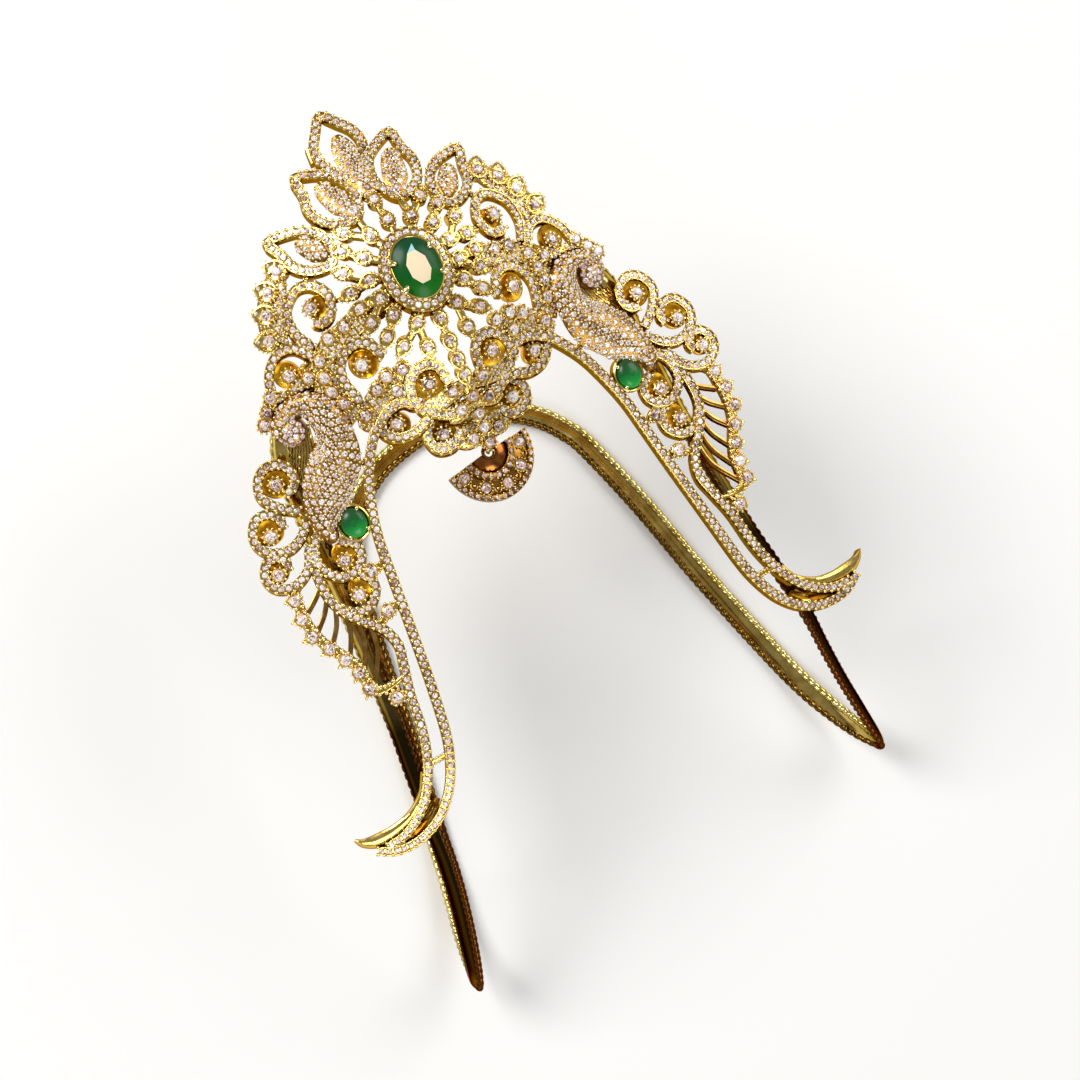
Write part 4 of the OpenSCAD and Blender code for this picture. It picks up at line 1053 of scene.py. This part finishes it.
# between them small arches on the floor of the channel
t = np.linspace(np.radians(-30), np.radians(210), 12)[:, None]
for b in np.radians(-90 + drop["stoneStep"] * (np.arange(-2, 2) + 0.5)):
    radial, sideways = np.array([np.cos(b), np.sin(b), 0]), np.array([-np.sin(b), np.cos(b), 0])
    middleOf = radial * 5.15 + zAxis * -1.92
    settings.append(hung(tube(middleOf + 0.48 * (np.cos(t) * sideways + np.sin(t) * radial), 0.15, 8)))
    addRow(dropGrains, hungPoints((middleOf - radial * 0.1)[None]), dropTurn.T[None], 0.26)
makePiece("dropSettings", joined(settings), bedGold, ["fan_drop"])
makePiece("dropGrains", gathered(grain, dropGrains)[0], yellowGold, ["fan_drop"], sharp=60)
makeStones("dropRimStones", *gathered(tinyStone, dropPave, 0.1), "fan_drop", 0.78)
ringAt = drop["at"] + drop["eyelet"] + [0, drop["ring"], 0]
ring = circleTube(ringAt, drop["ring"], drop["ringWire"], (yAxis, zAxis))
makePiece("jumpRing", ring, yellowGold, ["drop_ring"])
eyeAt = ringAt + [0, drop["ring"], 0]
post = tube(eyeAt + np.array([[0, drop["loop"], z] for z in (-0.1, 1.9, 3.9)]), 0.38, 12)
makePiece("dropEye", joined([circleTube(eyeAt, drop["loop"], drop["wire"], (xAxis, yAxis)), post]),
          yellowGold)

# gold grains, claws and the small stones of the ornament
for name, rows in (("grains", grains), ("claws", claws)):
    makePiece(name, gathered(grain, rows)[0], paleGold, sharp=60)
makeStones("smallStones", *gathered(tinyStone, pave, 0.1), "goldwork")

# round stones
for name, node, rows, radius in (("rayStones", "ray_stones", rayRows * [1, 1, 0, 0], 0.68),
                                 ("leafStones", "leaf_stones", tipRows * [1, 1, 0, 0], 0.84),
                                 ("scrollStones", "scroll_stones", scrollStones, 0.84),
                                 ("wingStones", "wing_stones", wingStones, 0.84),
                                 ("clusterStones", "cluster_stones", clusterStones, 0.78)):
    a = seeded.uniform(0, 2 * np.pi, len(rows))
    mesh = stampedOnFace(roundStone, rows[:, :2], around(a), rows[:, 2], radius, 0.12)
    makeStones(name, mesh, len(rows), node)
mesh = stamped(roundStone, fanSpots + fanFrames[:, 2] * 0.05, fanFrames, np.tile([0.76, 0.92, 0.8], (5, 1)))
makeStones("fanStones", mesh, 5, "fan_stones", 0.8)

# the centre stone: rings of 24 up to the girdle's shoulder, then triangles up to a table of eight corners
girdle = 2 * np.pi * np.arange(24) / 24
table = 2 * np.pi * np.arange(8) / 8 + np.pi / 8
points = np.vstack([ringOf(girdle, k, z) for k, z in ((0.3, -1.9), (0.99, -0.2), (1, 0.1), (0.8, 0.66))]
                   + [np.column_stack([0.48 * np.cos(table), 0.58 * np.sin(table), np.full(8, 1.1)])])
k, q = np.arange(24), np.arange(8)
upper, flat = 72, 96  # numbers of the first point on the upper ring and on the table
quads = np.vstack([np.column_stack([r + k, r + (k + 1) % 24, r + 24 + (k + 1) % 24, r + 24 + k])
                   for r in (0, 24, 48)])
crown = [np.column_stack([upper + (3 * q + 1 + j) % 24, upper + (3 * q + 2 + j) % 24,
                          flat + (q + (j > 0)) % 8])
         for j in (0, 1, 2)] + [np.column_stack([upper + (3 * q + 2) % 24, flat + (q + 1) % 8, flat + q])]
oval = (points, [quads, np.vstack(crown), k[::-1][None], (flat + q)[None]])
# painted light and shade: facets lighter toward -y and darker toward +y
tones = np.concatenate([0.42 - 0.26 * points[f][..., 1].mean(1) for f in oval[1]])
# painted reflections: a pale blue facet here and the cream table below
tones[len(quads) + 25] = 0.8  # the pale facet
tones[-1] = 1.0
mesh = stampedOnFace(oval, centrePlace, east, 0, centreSize, centreStone["lift"])
makePiece("centreStone", mesh, deepGreen, ["centre_stone"], tone=tones, sharp=26)

# the side stones: smooth domes of eight rings
sideRings = [(0.8, -1, 0), (1, -0.2, 0), (0.99, 0.2, 0), (0.93, 0.5, 0), (0.82, 0.75, 0), (0.66, 0.95, 0),
             (0.46, 1.08, 0), (0.24, 1.15, 0)]
dome = facetRings(sideRings, n=32)
# painted light: the domes lighter toward -y and darker toward +y
tones = np.concatenate([0.5 - 0.5 * dome[0][f][..., 1].mean(1) for f in dome[1]])
for name, node, flip in (("leftStone", "left_stone", -1), ("rightStone", "right_stone", 1)):
    mesh = stampedOnFace(dome, sidePlace * [flip, 1], east, 0, sideSize, sideStone["lift"])
    makePiece(name, mesh, brightGreen, [node], tone=tones, sharp=50)
print("stones ready")

# floor, lamps and camera
studio = {"floor": "#FAF9F7", "floorHalf": 3, "key": 2.7, "fill": 1.15, "rim": 1.0, "world": 0.25, "lens": 60}
floorData = bpy.data.meshes.new("floor")
half = studio["floorHalf"]
corners = [(-half, -half, 0), (half, -half, 0), (half, half, 0), (-half, half, 0)]
floorData.from_pydata(corners, [], [(0, 1, 2, 3)])
# white ground that keeps soft shadows and no gloss
paper = finished(*newMaterial("matt white paper"), {"Base Color": srgb(studio["floor"]), "Roughness": 0.9})
floorData.materials.append(paper)
addObject("floor", floorData)


def placed(axes, place):
    # matrix from three axes as columns and a place
    return Matrix([[*r, p] for r, p in zip(axes, place)] + [[0, 0, 0, 1]])


def softBox(name, place, size, power):
    # square white lamp that looks at the middle of the object
    data = bpy.data.lights.new(name, "AREA")
    data.shape = "SQUARE"
    data.size, data.energy = size, power
    lamp = addObject(name, data)
    z = unit(np.array(place, float) - [0, 0, 0.04])
    x = unit(np.cross([0.01, 1, 0.02], z))
    lamp.matrix_world = placed(np.column_stack([x, np.cross(z, x), z]), place)


softBox("keyBox", (-0.28, 0.32, 0.45), 0.3, studio["key"])
softBox("fillBox", (0.42, 0.05, 0.35), 0.35, studio["fill"])
softBox("rimBox", (-0.1, -0.5, 0.3), 0.3, studio["rim"])
world = bpy.data.worlds.new("studio")
world.use_nodes = True
world.node_tree.nodes.clear()
sky = addNode(world.node_tree, "ShaderNodeBackground", {"Color": (1, 1, 1, 1), "Strength": studio["world"]})
addNode(world.node_tree, "ShaderNodeOutputWorld", {}, {"Surface": sky.outputs["Background"]})
bpy.context.scene.world = world
bpy.context.scene.view_settings.view_transform = "Standard"

# the photo's own view, as found from the mirrored pairs of points
cameraData = bpy.data.cameras.new("camera")
cameraData.lens, cameraData.sensor_width = studio["lens"], 36
cameraData.clip_start, cameraData.clip_end = 0.01, 10
camera = addObject("camera", cameraData)
axes = np.array([[0.86020, -0.49816, 0.10899], [0.47767, 0.86197, 0.16981], [-0.17854, -0.09401, 0.97943]])
camera.matrix_world = placed(axes.T, (-0.045916, -0.02966, 0.293197))
bpy.context.scene.camera = camera
